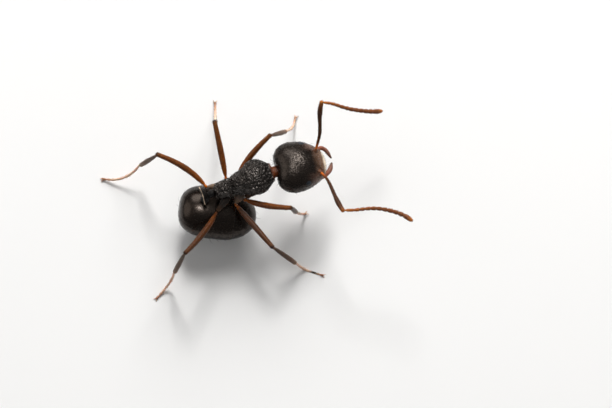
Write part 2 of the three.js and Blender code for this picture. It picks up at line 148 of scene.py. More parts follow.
def rounded(path, radii, count):
    # stations whose radii are blended from a list, with domed ends
    domes = [math.radians(angle) for angle in (8, 26, 45, 66)]
    first, last = radii[0], radii[-1]
    heads = [(first * (1 - math.cos(dome)), first * math.sin(dome)) for dome in domes]
    tails = [(path.length - last * (1 - math.cos(dome)), last * math.sin(dome)) for dome in reversed(domes)]
    inner, outer = first, path.length - last
    body = [(inner + (outer - inner) * i / count, blend(radii, i / count)) for i in range(count + 1)]
    return heads + body + tails


def ball(mesh, around, along, shape):
    # a sphere whose points are sent by shape(share from pole to pole, angle)
    spots, turns = (mesh.verts.layers.float[name] for name in ("along", "around"))
    made = bmesh.ops.create_uvsphere(mesh, u_segments=around, v_segments=along, radius=1)["verts"]
    for vert in made:
        share = math.acos(max(-1.0, min(1.0, vert.co.z))) / math.pi
        angle = math.atan2(vert.co.y, vert.co.x)
        vert[spots], vert[turns] = share, angle / (2 * math.pi) + 0.5
        vert.co = shape(share, angle)
    return made


def oval(wide, high, angle, boxy=1.0):
    side, rise = math.cos(angle), math.sin(angle)
    return wide * math.copysign(abs(side) ** boxy, side), high * math.copysign(abs(rise) ** boxy, rise)


def carve(mesh, verts, depthAt):
    # moves each point along its normal by a depth worked out from its place
    mesh.normal_update()
    moves = [(vert, vert.normal * depthAt(vert.co)) for vert in verts]
    for vert, move in moves:
        vert.co += move


netEdge = (0.02, 0.42)  # how far a ridge of the net reaches into its cells, as a share of their size


def pits(point, size, seed=0.0):
    # 1 on the net between cells of that size, and 0 at their middles
    near = noise.voronoi((point + Vector((seed, seed, seed))) / size)[0]
    return 1 - smooth(*netEdge, near[1] - near[0])


def openMesh(*names):
    # an empty mesh whose points carry named numbers for the materials and the hairs
    mesh = bmesh.new()
    for name in ("along", "around", *names):
        mesh.verts.layers.float.new(name)
    return mesh


def addPiece(data, name, nodes, finish):
    data.shade_smooth()
    data.materials.append(finish)
    piece = bpy.data.objects.new(name, data)
    bpy.context.scene.collection.objects.link(piece)
    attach(piece, "root")
    if nodes:
        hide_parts(*nodes)
    return piece


def finishPiece(mesh, name, nodes, finish, place=None):
    bmesh.ops.recalc_face_normals(mesh, faces=mesh.faces)
    if place is not None:
        bmesh.ops.transform(mesh, matrix=place, verts=mesh.verts)
    bmesh.ops.transform(mesh, matrix=toFrame, verts=mesh.verts)
    data = bpy.data.meshes.new(name)
    mesh.to_mesh(data)
    mesh.free()
    return addPiece(data, name, nodes, finish)


usual = (0.3, 0.7)  # most of a noise's values lie between these


class Flow:
    # a node's output, with arithmetic that adds Math nodes
    def __init__(self, finish, socket):
        self.finish, self.socket = finish, socket

    def math(self, operation, *others, clamp=False):
        settings = {"operation": operation, "use_clamp": clamp}
        return self.finish.add("Math", settings, dict(enumerate((self, *others))))

    def __add__(self, other):
        return self.math("ADD", other)

    def __sub__(self, other):
        return self.math("SUBTRACT", other)

    def __mul__(self, other):
        return self.math("MULTIPLY", other)

    def __rsub__(self, other):
        return self.finish.add("Math", {"operation": "SUBTRACT"}, {0: other, 1: self})

    __radd__ = __add__
    __rmul__ = __mul__

    def clamped(self):
        return self.math("ADD", 0.0, clamp=True)

    def between(self, low, high, first=0.0, last=1.0):
        # goes smoothly from first to last as the value goes from low to high
        values = {"Value": self, "From Min": low, "From Max": high, "To Min": first, "To Max": last}
        return self.finish.add("MapRange", {"interpolation_type": "SMOOTHSTEP"}, values)


class Finish:
    # one material: add() makes any node, mix() joins colours
    def __init__(self, name, **surface):
        self.material = bpy.data.materials.new(name)
        self.material.use_nodes = True
        self.tree = self.material.node_tree
        self.shader = next(n for n in self.tree.nodes if n.type == "BSDF_PRINCIPLED")
        for socket, value in surface.items():
            self.shader.inputs[socket.replace("_", " ")].default_value = value
        spot = self.add("TexCoord", output="Object")
        self.spot = self.add("VectorMath", {"operation": "SCALE"}, {0: spot, "Scale": 1 / millimetre})

    def add(self, kind, settings=None, values=None, output=0):
        node = self.tree.nodes.new("ShaderNode" + kind)
        for key, value in (settings or {}).items():
            if key == "stops":
                ramp = node.color_ramp
                while len(ramp.elements) < len(value):
                    ramp.elements.new(0.5)
                for element, (position, colour) in zip(ramp.elements, value):
                    element.position, element.color = position, (*colour, 1)
            else:
                setattr(node, key, value)
        for key, value in (values or {}).items():
            self.feed(node.inputs[key], value)
        return Flow(self, node.outputs[output])

    def feed(self, socket, value):
        if isinstance(value, Flow):
            self.tree.links.new(value.socket, socket)
        else:
            socket.default_value = value

    def attribute(self, name):
        return self.add("Attribute", {"attribute_name": name}, output="Fac")

    def noise(self, scale, detail=3.0, roughness=0.5):
        values = {"Vector": self.spot, "Scale": scale, "Detail": detail, "Roughness": roughness}
        return self.add("TexNoise", None, values)

    def uneven(self, scale, low, high):
        # wanders between two values over the surface
        return self.noise(scale).between(*usual, low, high)

    def cells(self, scale):
        return self.add("TexVoronoi", None, {"Vector": self.spot, "Scale": scale}, output="Distance")

    def ramp(self, value, stops):
        return self.add("ValToRGB", {"stops": stops}, {"Fac": value})

    def mix(self, share, first, last):
        asColour = [c if isinstance(c, Flow) else (*c, 1) for c in (first, last)]
        values = {0: share, 6: asColour[0], 7: asColour[1]}
        return self.add("Mix", {"data_type": "RGBA"}, values, output=2)

    def bump(self, height, distance, strength=1.0, under=None):
        values = {"Height": height, "Distance": distance * millimetre, "Strength": strength}
        if under is not None:
            values["Normal"] = under
        return self.add("Bump", None, values)

    def use(self, **links):
        for socket, value in links.items():
            self.feed(self.shader.inputs[socket.replace("_", " ")], value)
        return self.material


def limbFinish(name, stops, darker, roughness, glow):
    # colours run along a limb's segment, with darker streaks
    f = Finish(name, Specular_IOR_Level=0.24, Subsurface_Weight=glow, Subsurface_Scale=0.06 * millimetre)
    along = f.attribute("along")
    cloud = f.noise(9.0)
    base = f.ramp((along + (cloud - 0.5) * 0.08).clamped(), stops)
    streak = f.noise(30.0, 4.0).between(0.35, 0.7)
    colour = f.mix(streak * darker, base, (0.02, 0.008, 0.003))
    rough = f.uneven(45.0, roughness - 0.08, roughness + 0.1)
    return f.use(Base_Color=colour, Roughness=rough, Normal=f.bump(f.cells(55.0), 0.004, 0.5))


print("head")
headShape = {
    "at": (-0.064, -1.243, 1.435),
    "yaw": -6,
    "pitch": 8,
    "boxy": 0.94,
    "sections": [  # ahead, half width, above, below
        (-0.537, 0.0, 0.0, 0.0),
        (-0.53, 0.27, 0.14, 0.15),
        (-0.47, 0.42, 0.23, 0.22),
        (-0.35, 0.52, 0.3, 0.27),
        (-0.18, 0.565, 0.34, 0.31),
        (0.0, 0.553, 0.345, 0.32),
        (0.18, 0.505, 0.32, 0.3),
        (0.34, 0.42, 0.265, 0.27),
        (0.46, 0.335, 0.2, 0.23),
        (0.54, 0.22, 0.13, 0.17),
        (0.578, 0.1, 0.06, 0.09),
        (0.585, 0.0, -0.015, 0.015),
    ],
    "notch": {"depth": 0.05, "wide": 0.17, "from": 0.2, "to": 0.53},  # the hollow back of the head
    "fossa": (0.385, 0.245, 0.195),  # where an antenna is set in
    "eye": {1: (0.085, 0.43, 0.165), -1: (0.055, 0.43, 0.172)},
    "eyeSize": (0.06, 0.105, 0.075),
    "eyeLean": 52,
    "netSize": 0.046,
    "netDepth": 0.003,
    "netLevel": 0.7,  # this height of the net lies level with the skin
    "netFade": (0.56, 0.4),
    "netLeft": 0.25,
    "netSeed": 3.0,
    "around": 336,
    "along": 176,
}
headMarks = {
    "underside": -0.02,  # height of the line between face and underside
    "socket": {"rim": 0.014, "rimAt": 0.062, "rimWide": 0.022, "dip": 0.05, "dipWide": 0.04},
    "eyeGroove": {"deep": 0.011, "reach": 1.8},  # reach in eye sizes
    "lobe": {"high": 0.016, "ahead": 0.36, "long": 0.11, "aside": 0.155, "wide": 0.05},
    "shieldSeam": {
        "deep": 0.009, "ahead": 0.395, "wide": 0.011, "level": 0.12, "slant": 0.9, "fade": (0.42, 0.3),
    },
    "shieldHump": {"high": 0.008, "ahead": 0.48, "long": 0.07, "wide": 0.1},
    "midline": {"deep": 0.003, "wide": 0.006, "front": (0.38, 0.3), "rear": (0.0, 0.1)},
    "chinSeam": {"deep": 0.008, "wide": 0.012, "front": (0.4, 0.3)},
    "mouth": {"deep": 0.05, "ahead": 0.47, "long": 0.1, "aside": (0.26, 0.16), "below": (-0.08, -0.16)},
}
headTones = {
    "dark": [(0.0020, 0.0014, 0.0011), (0.0070, 0.0048, 0.0036)],
    # painted shade: the net's ridges get a lighter colour than the pits between them, as if the pits lay in
    # shade
    "net": (0.013, 0.0095, 0.0075),
    "cheek": (0.11, 0.060, 0.044),
    "brown": (0.15, 0.080, 0.048),
    "brownFrom": (0.27, 0.55),  # distances ahead of the head's middle
    "cream": (0.80, 0.67, 0.50),
    "creamFrom": (0.50, 0.56),
    "socket": (0.16, 0.042, 0.010),
    "socketWide": 0.042,
    "cheekAt": (0.3, 0.13),
    "cheekAside": (0.22, 0.36),
    "lowerFade": (-0.02, -0.12),  # below these heights brown and cream start further ahead
    "lowerShift": 0.12,
    "rough": (0.22, 0.34),
}
headPlace = (
    Matrix.Translation(headShape["at"])
    @ Matrix.Rotation(math.radians(headShape["yaw"]), 4, "Z")
    @ Matrix.Rotation(math.radians(headShape["pitch"]), 4, "X")
)


def headFinish():
    f = Finish("head_cuticle", Specular_IOR_Level=0.45, Specular_Tint=(1.0, 0.86, 0.77, 1))
    ahead, net, cheek, socket = (f.attribute(name) for name in ("ahead", "net", "cheek", "socket"))
    cloud = f.noise(5.0)
    dark = f.mix(cloud.between(*usual), *headTones["dark"])
    # painted shade: the pits are coloured darker than the net's ridges
    pitShaded = f.mix(net * 0.7, dark, headTones["net"])
    warm = f.mix(cheek, pitShaded, headTones["cheek"])
    brown = f.mix((ahead + cloud * 0.08).between(*headTones["brownFrom"]), warm, headTones["brown"])
    cream = f.mix((ahead + cloud * 0.03).between(*headTones["creamFrom"]), brown, headTones["cream"])
    ringed = f.mix(socket, cream, headTones["socket"])
    rough = f.uneven(26.0, *headTones["rough"]) - net * 0.06
    grain = f.bump(f.noise(80.0, 4.0, 0.6), 0.001, 0.3)
    return f.use(Base_Color=ringed, Roughness=rough, Normal=f.bump(f.cells(30.0), 0.0045, 0.5, grain))


def inHead(spot):
    ahead, aside, above = spot
    return Vector((aside, -ahead, above))


def socketSpot(side):
    ahead, aside, above = headShape["fossa"]
    return inHead((ahead, side * aside, above))


def eyePlace(side):
    ahead, aside, above = headShape["eye"][side]
    bulge, long, wide = headShape["eyeSize"]
    lean = Matrix.Rotation(math.radians(-side * headShape["eyeLean"]), 4, "Y")
    place = Matrix.Translation(inHead((ahead, side * aside, above)))
    return place @ lean @ Matrix.Diagonal((bulge, long, wide, 1))


def headPoint(share, angle):
    ahead, wide, above, below = blendRow(headShape["sections"], share)
    x, z = oval(wide, (above + below) / 2, angle, headShape["boxy"])
    notch, y = headShape["notch"], -ahead
    y -= notch["depth"] * smooth(notch["from"], notch["to"], y) * bell(x, notch["wide"])
    return Vector((x, y, z + (above - below) / 2))


def headRelief(point):
    ahead, aside = -point.y, abs(point.x)
    rise = 0.0
    for side in (1, -1):  # raised rim and dip of each antenna socket, a groove round each eye
        mark, far = headMarks["socket"], (point - socketSpot(side)).length
        rise += mark["rim"] * bell(far - mark["rimAt"], mark["rimWide"])
        rise -= mark["dip"] * bell(far, mark["dipWide"])
        mark, far = headMarks["eyeGroove"], (eyePlace(side).inverted() @ point).length
        rise -= mark["deep"] * smooth(mark["reach"], 1.0, far)
    if point.z > headMarks["underside"]:
        mark = headMarks["lobe"]  # frontal lobes beside the sockets
        lobe = bell(ahead - mark["ahead"], mark["long"]) * bell(aside - mark["aside"], mark["wide"])
        rise += mark["high"] * lobe
        mark = headMarks["shieldSeam"]  # the face shield's rear edge
        seam = mark["ahead"] + mark["slant"] * max(aside - mark["level"], 0)
        rise -= mark["deep"] * bell(ahead - seam, mark["wide"]) * smooth(*mark["fade"], aside)
        mark = headMarks["shieldHump"]
        rise += mark["high"] * bell(aside, mark["wide"]) * bell(ahead - mark["ahead"], mark["long"])
        mark = headMarks["midline"]
        fade = smooth(*mark["front"], ahead) * smooth(*mark["rear"], ahead)
        rise -= mark["deep"] * bell(aside, mark["wide"]) * fade
    else:
        mark = headMarks["chinSeam"]
        rise -= mark["deep"] * bell(aside, mark["wide"]) * smooth(*mark["front"], ahead)
        mark = headMarks["mouth"]
        opening = bell(ahead - mark["ahead"], mark["long"]) * smooth(*mark["aside"], aside)
        rise -= mark["deep"] * opening * smooth(*mark["below"], point.z)
    return rise


mesh = openMesh("ahead", "net", "cheek", "socket")
skin = ball(mesh, headShape["around"], headShape["along"], headPoint)
aheadLayer, netLayer, cheekLayer, socketLayer = (
    mesh.verts.layers.float[name] for name in ("ahead", "net", "cheek", "socket")
)
for vert in skin:
    near = min((vert.co - socketSpot(side)).length for side in (1, -1))
    vert[socketLayer] = bell(near, headTones["socketWide"])
    vert[aheadLayer] = -vert.co.y - headTones["lowerShift"] * smooth(*headTones["lowerFade"], vert.co.z)
    cheek, long = headTones["cheekAt"]  # between eye and jaw
    vert[cheekLayer] = bell(vert.co.y + cheek, long) * smooth(*headTones["cheekAside"], abs(vert.co.x))
    vert[netLayer] = pits(vert.co, headShape["netSize"], headShape["netSeed"])
carve(mesh, skin, headRelief)
mesh.normal_update()
for vert in skin:
    left = headShape["netLeft"]
    fade = left + (1 - left) * smooth(*headShape["netFade"], -vert.co.y)
    vert.co += vert.normal * headShape["netDepth"] * (vert[netLayer] - headShape["netLevel"]) * fade
head = finishPiece(mesh, "head_capsule", ["head"], headFinish(), headPlace)

print("eyes")
eyeShape = {
    "lenses": 4,  # subdivisions that set how many small lenses there are
    "smoothness": 6,
    "dome": 0.05,
    "sunk": 0.6,
    "reach": 0.095,
    "rim": (0.002, 0.002, 0.003),
    "lens": (0.012, 0.018, 0.026),
    "rough": (0.42, 0.55),
}


def eyeFinish():
    f = Finish("eye_lens", Specular_IOR_Level=0.35, Coat_Roughness=0.3)
    lens = f.attribute("lens")
    colour = f.mix(lens, eyeShape["rim"], eyeShape["lens"])
    return f.use(Base_Color=colour, Roughness=f.uneven(30.0, *eyeShape["rough"]), Coat_Weight=lens * 0.15)


seeds = bmesh.new()
bmesh.ops.create_icosphere(seeds, subdivisions=eyeShape["lenses"], radius=1)
lensTree = KDTree(len(seeds.verts))
for i, vert in enumerate(seeds.verts):
    lensTree.insert(vert.co, i)
lensTree.balance()
seeds.free()
eyeLook = eyeFinish()
for side, label in ((1, "left"), (-1, "right")):
    mesh = openMesh("lens")
    bmesh.ops.create_icosphere(mesh, subdivisions=eyeShape["smoothness"], radius=1)
    lensLayer = mesh.verts.layers.float["lens"]
    for vert in mesh.verts:
        far = min(1.0, lensTree.find(vert.co)[2] / eyeShape["reach"])
        swell = math.sqrt(1 - far * far)
        vert[lensLayer] = swell
        vert.co *= 1 - eyeShape["dome"] * eyeShape["sunk"] + eyeShape["dome"] * swell
    finishPiece(mesh, "eye_" + label, ["eye_" + label], eyeLook, headPlace @ eyePlace(side))

print("jaws and mouth")
jawShape = {
    "radii": [0.048, 0.049, 0.047, 0.04, 0.022],
    "flat": 0.95,
    "left": [
        (0.43, 0.31, -0.145), (0.56, 0.375, -0.16), (0.655, 0.335, -0.17), (0.72, 0.235, -0.178),
        (0.765, 0.11, -0.18),
    ],
    "right": [
        (0.42, -0.29, -0.145), (0.52, -0.25, -0.158), (0.61, -0.2, -0.168), (0.695, -0.118, -0.174),
        (0.755, 0.02, -0.18),
    ],
    "stout": {"left": 1.0, "right": 1.22},
    "teeth": [(0.66, 0.026), (0.75, 0.024), (0.83, 0.021), (0.9, 0.017)],  # share along, length
    "toothWide": 0.013,
    "toothRoot": 0.75,  # share of the jaw's radius
    "point": 0.0015,
    "toothTone": 0.9,
}
jawLook = limbFinish(
    "jaw_cuticle",
    [
        (0.0, (0.42, 0.11, 0.04)), (0.35, (0.30, 0.10, 0.06)), (0.75, (0.24, 0.11, 0.08)),
        (1.0, (0.14, 0.09, 0.07)),
    ],
    darker=0.3, roughness=0.3, glow=0.15,
)
for side, label in ((1, "left"), (-1, "right")):
    mesh = openMesh()
    path = curvePath([inHead(spot) for spot in jawShape[label]])
    radii = [radius * jawShape["stout"][label] for radius in jawShape["radii"]]
    sweep(mesh, path, rounded(path, radii, 26), 24, upright, jawShape["flat"])
    for share, long in jawShape["teeth"]:
        spot, direction = path.at(share * path.length)
        inward = Vector((direction.y * side, -direction.x * side, 0)).normalized()
        root = spot + inward * blend(radii, share) * jawShape["toothRoot"]
        tip = root + inward * long + direction * long * 0.5
        tooth = arcPath(root, root + inward * long * 0.6, tip, 12)
        rows = []
        for t in (0, 0.3, 0.6, 0.85, 1):
            rows.append((tooth.length * t, jawShape["toothWide"] * (1 - t) ** 0.7 + jawShape["point"]))
        for vert in sweep(mesh, tooth, rows, 10, upright):
            vert[mesh.verts.layers.float["along"]] = jawShape["toothTone"]
    finishPiece(mesh, "mandible_" + label, ["mandible_" + label], jawLook, headPlace)

mouthShape = {
    "outerFeeler": [(0.43, 0.085, -0.21), (0.5, 0.115, -0.265), (0.47, 0.13, -0.32), (0.38, 0.125, -0.345)],
    "innerFeeler": [(0.47, 0.035, -0.21), (0.52, 0.04, -0.25), (0.5, 0.045, -0.285)],
    "joints": {"outerFeeler": 4, "innerFeeler": 3},
    "radius": 0.012,
    "joint": [(0.02, 0.55), (0.2, 0.85), (0.6, 1.0), (0.9, 0.95), (0.98, 0.6)],  # shares along, of radius
    "lip": [(0.44, -0.13, -0.185), (0.515, -0.06, -0.2), (0.515, 0.06, -0.2), (0.44, 0.13, -0.185)],
    "lipRadii": [0.02, 0.034, 0.036, 0.034, 0.02],
    "lipFlat": 0.9,
}
mouthLook = limbFinish(
    "mouth_cuticle",
    [(0.0, (0.16, 0.07, 0.03)), (1.0, (0.38, 0.2, 0.1))],
    darker=0.3, roughness=0.35, glow=0.2,
)
mesh = openMesh()
for side in (1, -1):
    for name, joints in mouthShape["joints"].items():
        path = curvePath([inHead((a, b * side, c)) for a, b, c in mouthShape[name]])
        rows = []
        for i in range(joints):
            for t, size in mouthShape["joint"]:
                rows.append(((i + t) * path.length / joints, size * mouthShape["radius"]))
        sweep(mesh, path, rows, 12, upright)
lip = curvePath([inHead(spot) for spot in mouthShape["lip"]])
sweep(mesh, lip, rounded(lip, mouthShape["lipRadii"], 18), 16, upright, mouthShape["lipFlat"])
finishPiece(mesh, "mouth_parts", [], mouthLook, headPlace)

print("antennae")
scapeShape = {"length": 1.135, "radii": [0.027, 0.03, 0.038, 0.041, 0.055, 0.046]}
lashShape = {
    "length": 1.54,
    "joints": [1.45, 1, 1, 1, 1, 1, 1, 1, 1, 1, 2.1],
    "radii": (0.031, 0.054),
    "gap": 0.012,
    "steps": 60,
    "neck": [(-0.026, 0.009), (-0.02, 0.018), (-0.006, 0.019)],
}
# Along each joint: share of its length, share of its full radius.
jointProfile = [
    (0.0, 0.62), (0.05, 0.66), (0.16, 0.82), (0.42, 0.95), (0.68, 1.0), (0.86, 0.99), (0.94, 0.9),
    (0.985, 0.68),
]
tipProfile = [
    (0.0, 0.62), (0.03, 0.7), (0.12, 0.88), (0.3, 1.0), (0.55, 0.99), (0.75, 0.86), (0.88, 0.66),
    (0.95, 0.45), (0.99, 0.2),
]
antennae = [  # the scape's heading and bends, then the lash's headings from start to tip
    {
        "side": 1, "label": "left", "scape": (63.8, 30.5),
        "bends": [0, 0.028, 0.044, 0.026, -0.002, -0.014, 0],
        "azimuth": [-9.4, -26.4, -18.2, -12.7, -3.2], "elevation": [-38, -35.7, -33.2, -30.8, -28.2],
    },
    {
        "side": -1, "label": "right", "scape": (-80.3, 13.9),
        "bends": [0, 0.044, 0.044, 0.023, 0.003, -0.007, 0],
        "azimuth": [-22.5, -13.8, -27.4, -39.3, -58.1], "elevation": [14.5, 11.2, 7.9, 4.8, 1.8],
    },
]
scapeLook = limbFinish(
    "scape_cuticle",
    [
        (0.0, (0.85, 0.20, 0.012)), (0.08, (0.66, 0.14, 0.008)), (0.16, (0.14, 0.036, 0.008)),
        (0.3, (0.070, 0.022, 0.007)), (0.8, (0.062, 0.020, 0.007)), (0.93, (0.17, 0.05, 0.010)),
        (1.0, (0.62, 0.19, 0.02)),
    ],
    darker=0.5, roughness=0.34, glow=0.15,
)
lashLook = limbFinish(
    "funiculus_cuticle",
    [
        (0.0, (0.55, 0.17, 0.022)), (0.1, (0.42, 0.125, 0.025)), (0.5, (0.24, 0.072, 0.02)),
        (0.9, (0.22, 0.065, 0.018)), (1.0, (0.60, 0.19, 0.03)),
    ],
    darker=0.4, roughness=0.4, glow=0.2,
)


def scapePath(antenna):
    start = headPlace @ socketSpot(antenna["side"])
    along = heading(*antenna["scape"])
    forward = (frontwise + along * along.y).normalized()
    step = scapeShape["length"] / (len(antenna["bends"]) - 1)
    return curvePath([start + along * (step * i) + forward * bend for i, bend in enumerate(antenna["bends"])])


def lashPath(antenna, scape):
    def aim(t):
        return heading(blend(antenna["azimuth"], t), blend(antenna["elevation"], t))

    end, steps = scapeShape["radii"][-1], lashShape["steps"]
    spot = scape.at(scape.length - end)[0] + aim(0) * (end + 2 * lashShape["gap"])
    spots = [spot.copy()]
    for i in range(steps):
        spot = spot + aim((i + 0.5) / steps) * (lashShape["length"] / steps)
        spots.append(spot.copy())
    return Path(spots)


def beadRows(length, shares, radii, profile, lastProfile):
    # stations of a chain of joints that grow toward its end
    rows, whole, place = [], sum(shares), 0.0
    for i, share in enumerate(shares):
        size = length * share / whole
        full = radii[0] + (radii[1] - radii[0]) * ((place + size / 2) / length) ** 0.8
        for along, wide in (lastProfile if i == len(shares) - 1 else profile):
            rows.append((place + size * along, full * wide))
        place += size
    return rows


skins = {}
for antenna in antennae:
    scapeName, lashName = "scape_" + antenna["label"], "funiculus_" + antenna["label"]
    path = scapePath(antenna)
    mesh = openMesh()
    sweep(mesh, path, rounded(path, scapeShape["radii"], 44), 24, upright)
    skins[scapeName] = finishPiece(mesh, scapeName, [scapeName], scapeLook)
    lash = lashPath(antenna, path)
    rows = beadRows(lash.length, lashShape["joints"], lashShape["radii"], jointProfile, tipProfile)
    mesh = openMesh()
    sweep(mesh, lash, lashShape["neck"] + rows, 24, upright)
    skins[lashName] = finishPiece(mesh, lashName, [lashName], lashLook)

print("thorax")  # one shell, with its two seams as grooves
thoraxShape = {
    "level": 1.457,
    "boxy": 0.92,
    "sections": [  # y, half width, top and bottom from the level
        (-0.65, 0.0, -0.03, -0.03),
        (-0.645, 0.185, 0.1, -0.155),
        (-0.58, 0.23, 0.14, -0.178),
        (-0.5, 0.298, 0.19, -0.215),
        (-0.4, 0.364, 0.24, -0.25),
        (-0.28, 0.388, 0.27, -0.27),
        (-0.16, 0.36, 0.275, -0.27),
        (-0.06, 0.295, 0.265, -0.265),
        (0.05, 0.235, 0.245, -0.28),
        (0.14, 0.205, 0.21, -0.29),
        (0.22, 0.178, 0.15, -0.29),
        (0.28, 0.165, 0.105, -0.285),
        (0.34, 0.17, 0.155, -0.28),
        (0.43, 0.175, 0.185, -0.275),
        (0.53, 0.17, 0.19, -0.265),
        (0.62, 0.158, 0.165, -0.25),
        (0.7, 0.13, 0.11, -0.235),
        (0.705, 0.0, -0.06, -0.06),
    ],
    "flank": {"out": 0.065, "y": 0.1, "length": 0.26, "level": -0.17, "depth": 0.14, "inner": 0.1},
    "sway": {"aside": -0.03, "from": 0.2, "to": 0.6},
    "hollow": {"y": 0.845, "z": 1.452, "radius": 0.215},  # the round hollow at the rear, above the waist
    "seams": [(-0.055, 0.011, 0.022), (0.281, 0.013, 0.016)],  # y, width, depth
    "seamBend": 0.05,
    "breathingHole": {
        "y": 0.4, "level": 0.13, "aside": (0.05, 0.12),
        "rim": (0.012, 0.022, 0.03), "pit": (-0.02, 0.008, 0.01),  # height, length, width
    },
    "grooveAside": 0.08,
    "grooves": [  # slanting, on the flanks: y, slant, level, depth, width, fade
        (0.02, 0.35, 0.05, 0.01, 0.012, (0.05, -0.05)),
        (-0.33, 0.5, 0.1, 0.009, 0.014, (0.0, -0.08)),
        (0.36, 0.4, 0.1, 0.009, 0.012, (0.0, -0.08)),
    ],
    "collar": (-0.6, -0.64),
    "netSize": 0.07,
    "netDepth": 0.026,
    "netLevel": 0.75,
    "netSeed": 1.0,
    "netFront": (-0.645, -0.57),
    "calmRear": (0.62, 0.69),
    "calmUnder": (-0.14, -0.26),
    "calm": 0.75,
    "grainScale": 60.0,
    "grain": 0.0012,
    "around": 264,
    "along": 230,
}
thoraxTones = {
    "dark": [(0.0008, 0.0007, 0.0007), (0.0035, 0.0024, 0.0020)],
    # painted shade: the net's ridges get a lighter colour than the pits between them, as if the pits lay in
    # shade
    "net": (0.005, 0.0040, 0.0035),
    "collar": (0.11, 0.035, 0.018),
    "rough": (0.22, 0.36),
}


def thoraxFinish():
    f = Finish("thorax_cuticle", Specular_IOR_Level=0.7, Specular_Tint=(1.0, 0.9, 0.84, 1))
    net = f.attribute("net")
    dark = f.mix(f.noise(4.0).between(*usual), *thoraxTones["dark"])
    # painted shade: the pits are coloured darker than the net's ridges
    pitShaded = f.mix(net, dark, thoraxTones["net"])
    colour = f.mix(f.attribute("collar"), pitShaded, thoraxTones["collar"])
    rough = f.uneven(40.0, *thoraxTones["rough"]) - net * 0.04
    bump = f.bump(f.noise(90.0, 4.0, 0.6), 0.0012, 0.35)
    return f.use(Base_Color=colour, Roughness=rough, Normal=bump)


def thoraxPoint(share, angle):
    y, wide, top, bottom = blendRow(thoraxShape["sections"], share)
    x, z = oval(wide, (top - bottom) / 2, angle, thoraxShape["boxy"])
    z += (top + bottom) / 2
    flank, sway = thoraxShape["flank"], thoraxShape["sway"]
    out = flank["out"] * bell(y - flank["y"], flank["length"]) * bell(z - flank["level"], flank["depth"])
    x += out * max(-1.0, min(1.0, x / flank["inner"])) + sway["aside"] * smooth(sway["from"], sway["to"], y)
    return Vector((x, y, z + thoraxShape["level"]))


def thoraxRelief(point):
    aside, above = abs(point.x), point.z - thoraxShape["level"]
    rise = 0.0
    for y, width, depth in thoraxShape["seams"]:
        rise -= depth * bell(point.y - y - thoraxShape["seamBend"] * above, width)
    hole = thoraxShape["breathingHole"]
    for height, long, wide in (hole["rim"], hole["pit"]):
        there = bell(point.y - hole["y"], long) * bell(above - hole["level"], wide)
        rise += height * there * smooth(*hole["aside"], aside)
    if aside > thoraxShape["grooveAside"]:
        for y, slant, level, depth, width, fade in thoraxShape["grooves"]:
            rise -= depth * bell(point.y - y + slant * (above + level), width) * smooth(*fade, above)
    return rise


mesh = openMesh("net", "collar")
skin = ball(mesh, thoraxShape["around"], thoraxShape["along"], thoraxPoint)
hollow = thoraxShape["hollow"]
for vert in skin:
    offset = Vector((0, vert.co.y - hollow["y"], vert.co.z - hollow["z"]))
    if 0 < offset.length < hollow["radius"]:
        vert.co += offset.normalized() * (hollow["radius"] - offset.length)
carve(mesh, skin, thoraxRelief)
netLayer, collarLayer = (mesh.verts.layers.float[name] for name in ("net", "collar"))
mesh.normal_update()
for vert in skin:
    net = pits(vert.co, thoraxShape["netSize"], thoraxShape["netSeed"])
    vert[netLayer] = net
    vert[collarLayer] = smooth(*thoraxShape["collar"], vert.co.y)
    rear = smooth(*thoraxShape["calmRear"], vert.co.y)
    under = smooth(*thoraxShape["calmUnder"], vert.co.z - thoraxShape["level"])
    depth = thoraxShape["netDepth"] * (1 - thoraxShape["calm"] * max(rear, under))
    depth *= smooth(*thoraxShape["netFront"], vert.co.y)
    grain = thoraxShape["grain"] * noise.noise(vert.co * thoraxShape["grainScale"])
    vert.co += vert.normal * (depth * (net - thoraxShape["netLevel"]) + grain)
thorax = finishPiece(mesh, "thorax_shell", ["pronotum", "mesonotum", "propodeum"], thoraxFinish())

print("neck and waist")
neckShape = {
    "from": (0, -0.5, 1.405),
    "to": (-0.018, -0.87, 1.43),
    "radii": [0.135, 0.13, 0.128],
    "flat": 0.74,
    "rings": 9,
    "ringDepth": 0.0016,
}
neckLook = limbFinish(
    "neck_cuticle",
    [(0.0, (0.10, 0.028, 0.010)), (0.5, (0.17, 0.040, 0.008)), (1.0, (0.09, 0.024, 0.008))],
    darker=0.3, roughness=0.26, glow=0.08,
)
mesh = openMesh()
path = Path([Vector(neckShape["from"]).lerp(Vector(neckShape["to"]), t / 8) for t in range(9)])
rows = []
for distance, radius in rounded(path, neckShape["radii"], 36):
    wave = 1 - math.cos(2 * math.pi * neckShape["rings"] * distance / path.length)
    rows.append((distance, radius - neckShape["ringDepth"] * wave))
sweep(mesh, path, rows, 56, sidewise, neckShape["flat"])
finishPiece(mesh, "neck", ["neck"], neckLook)

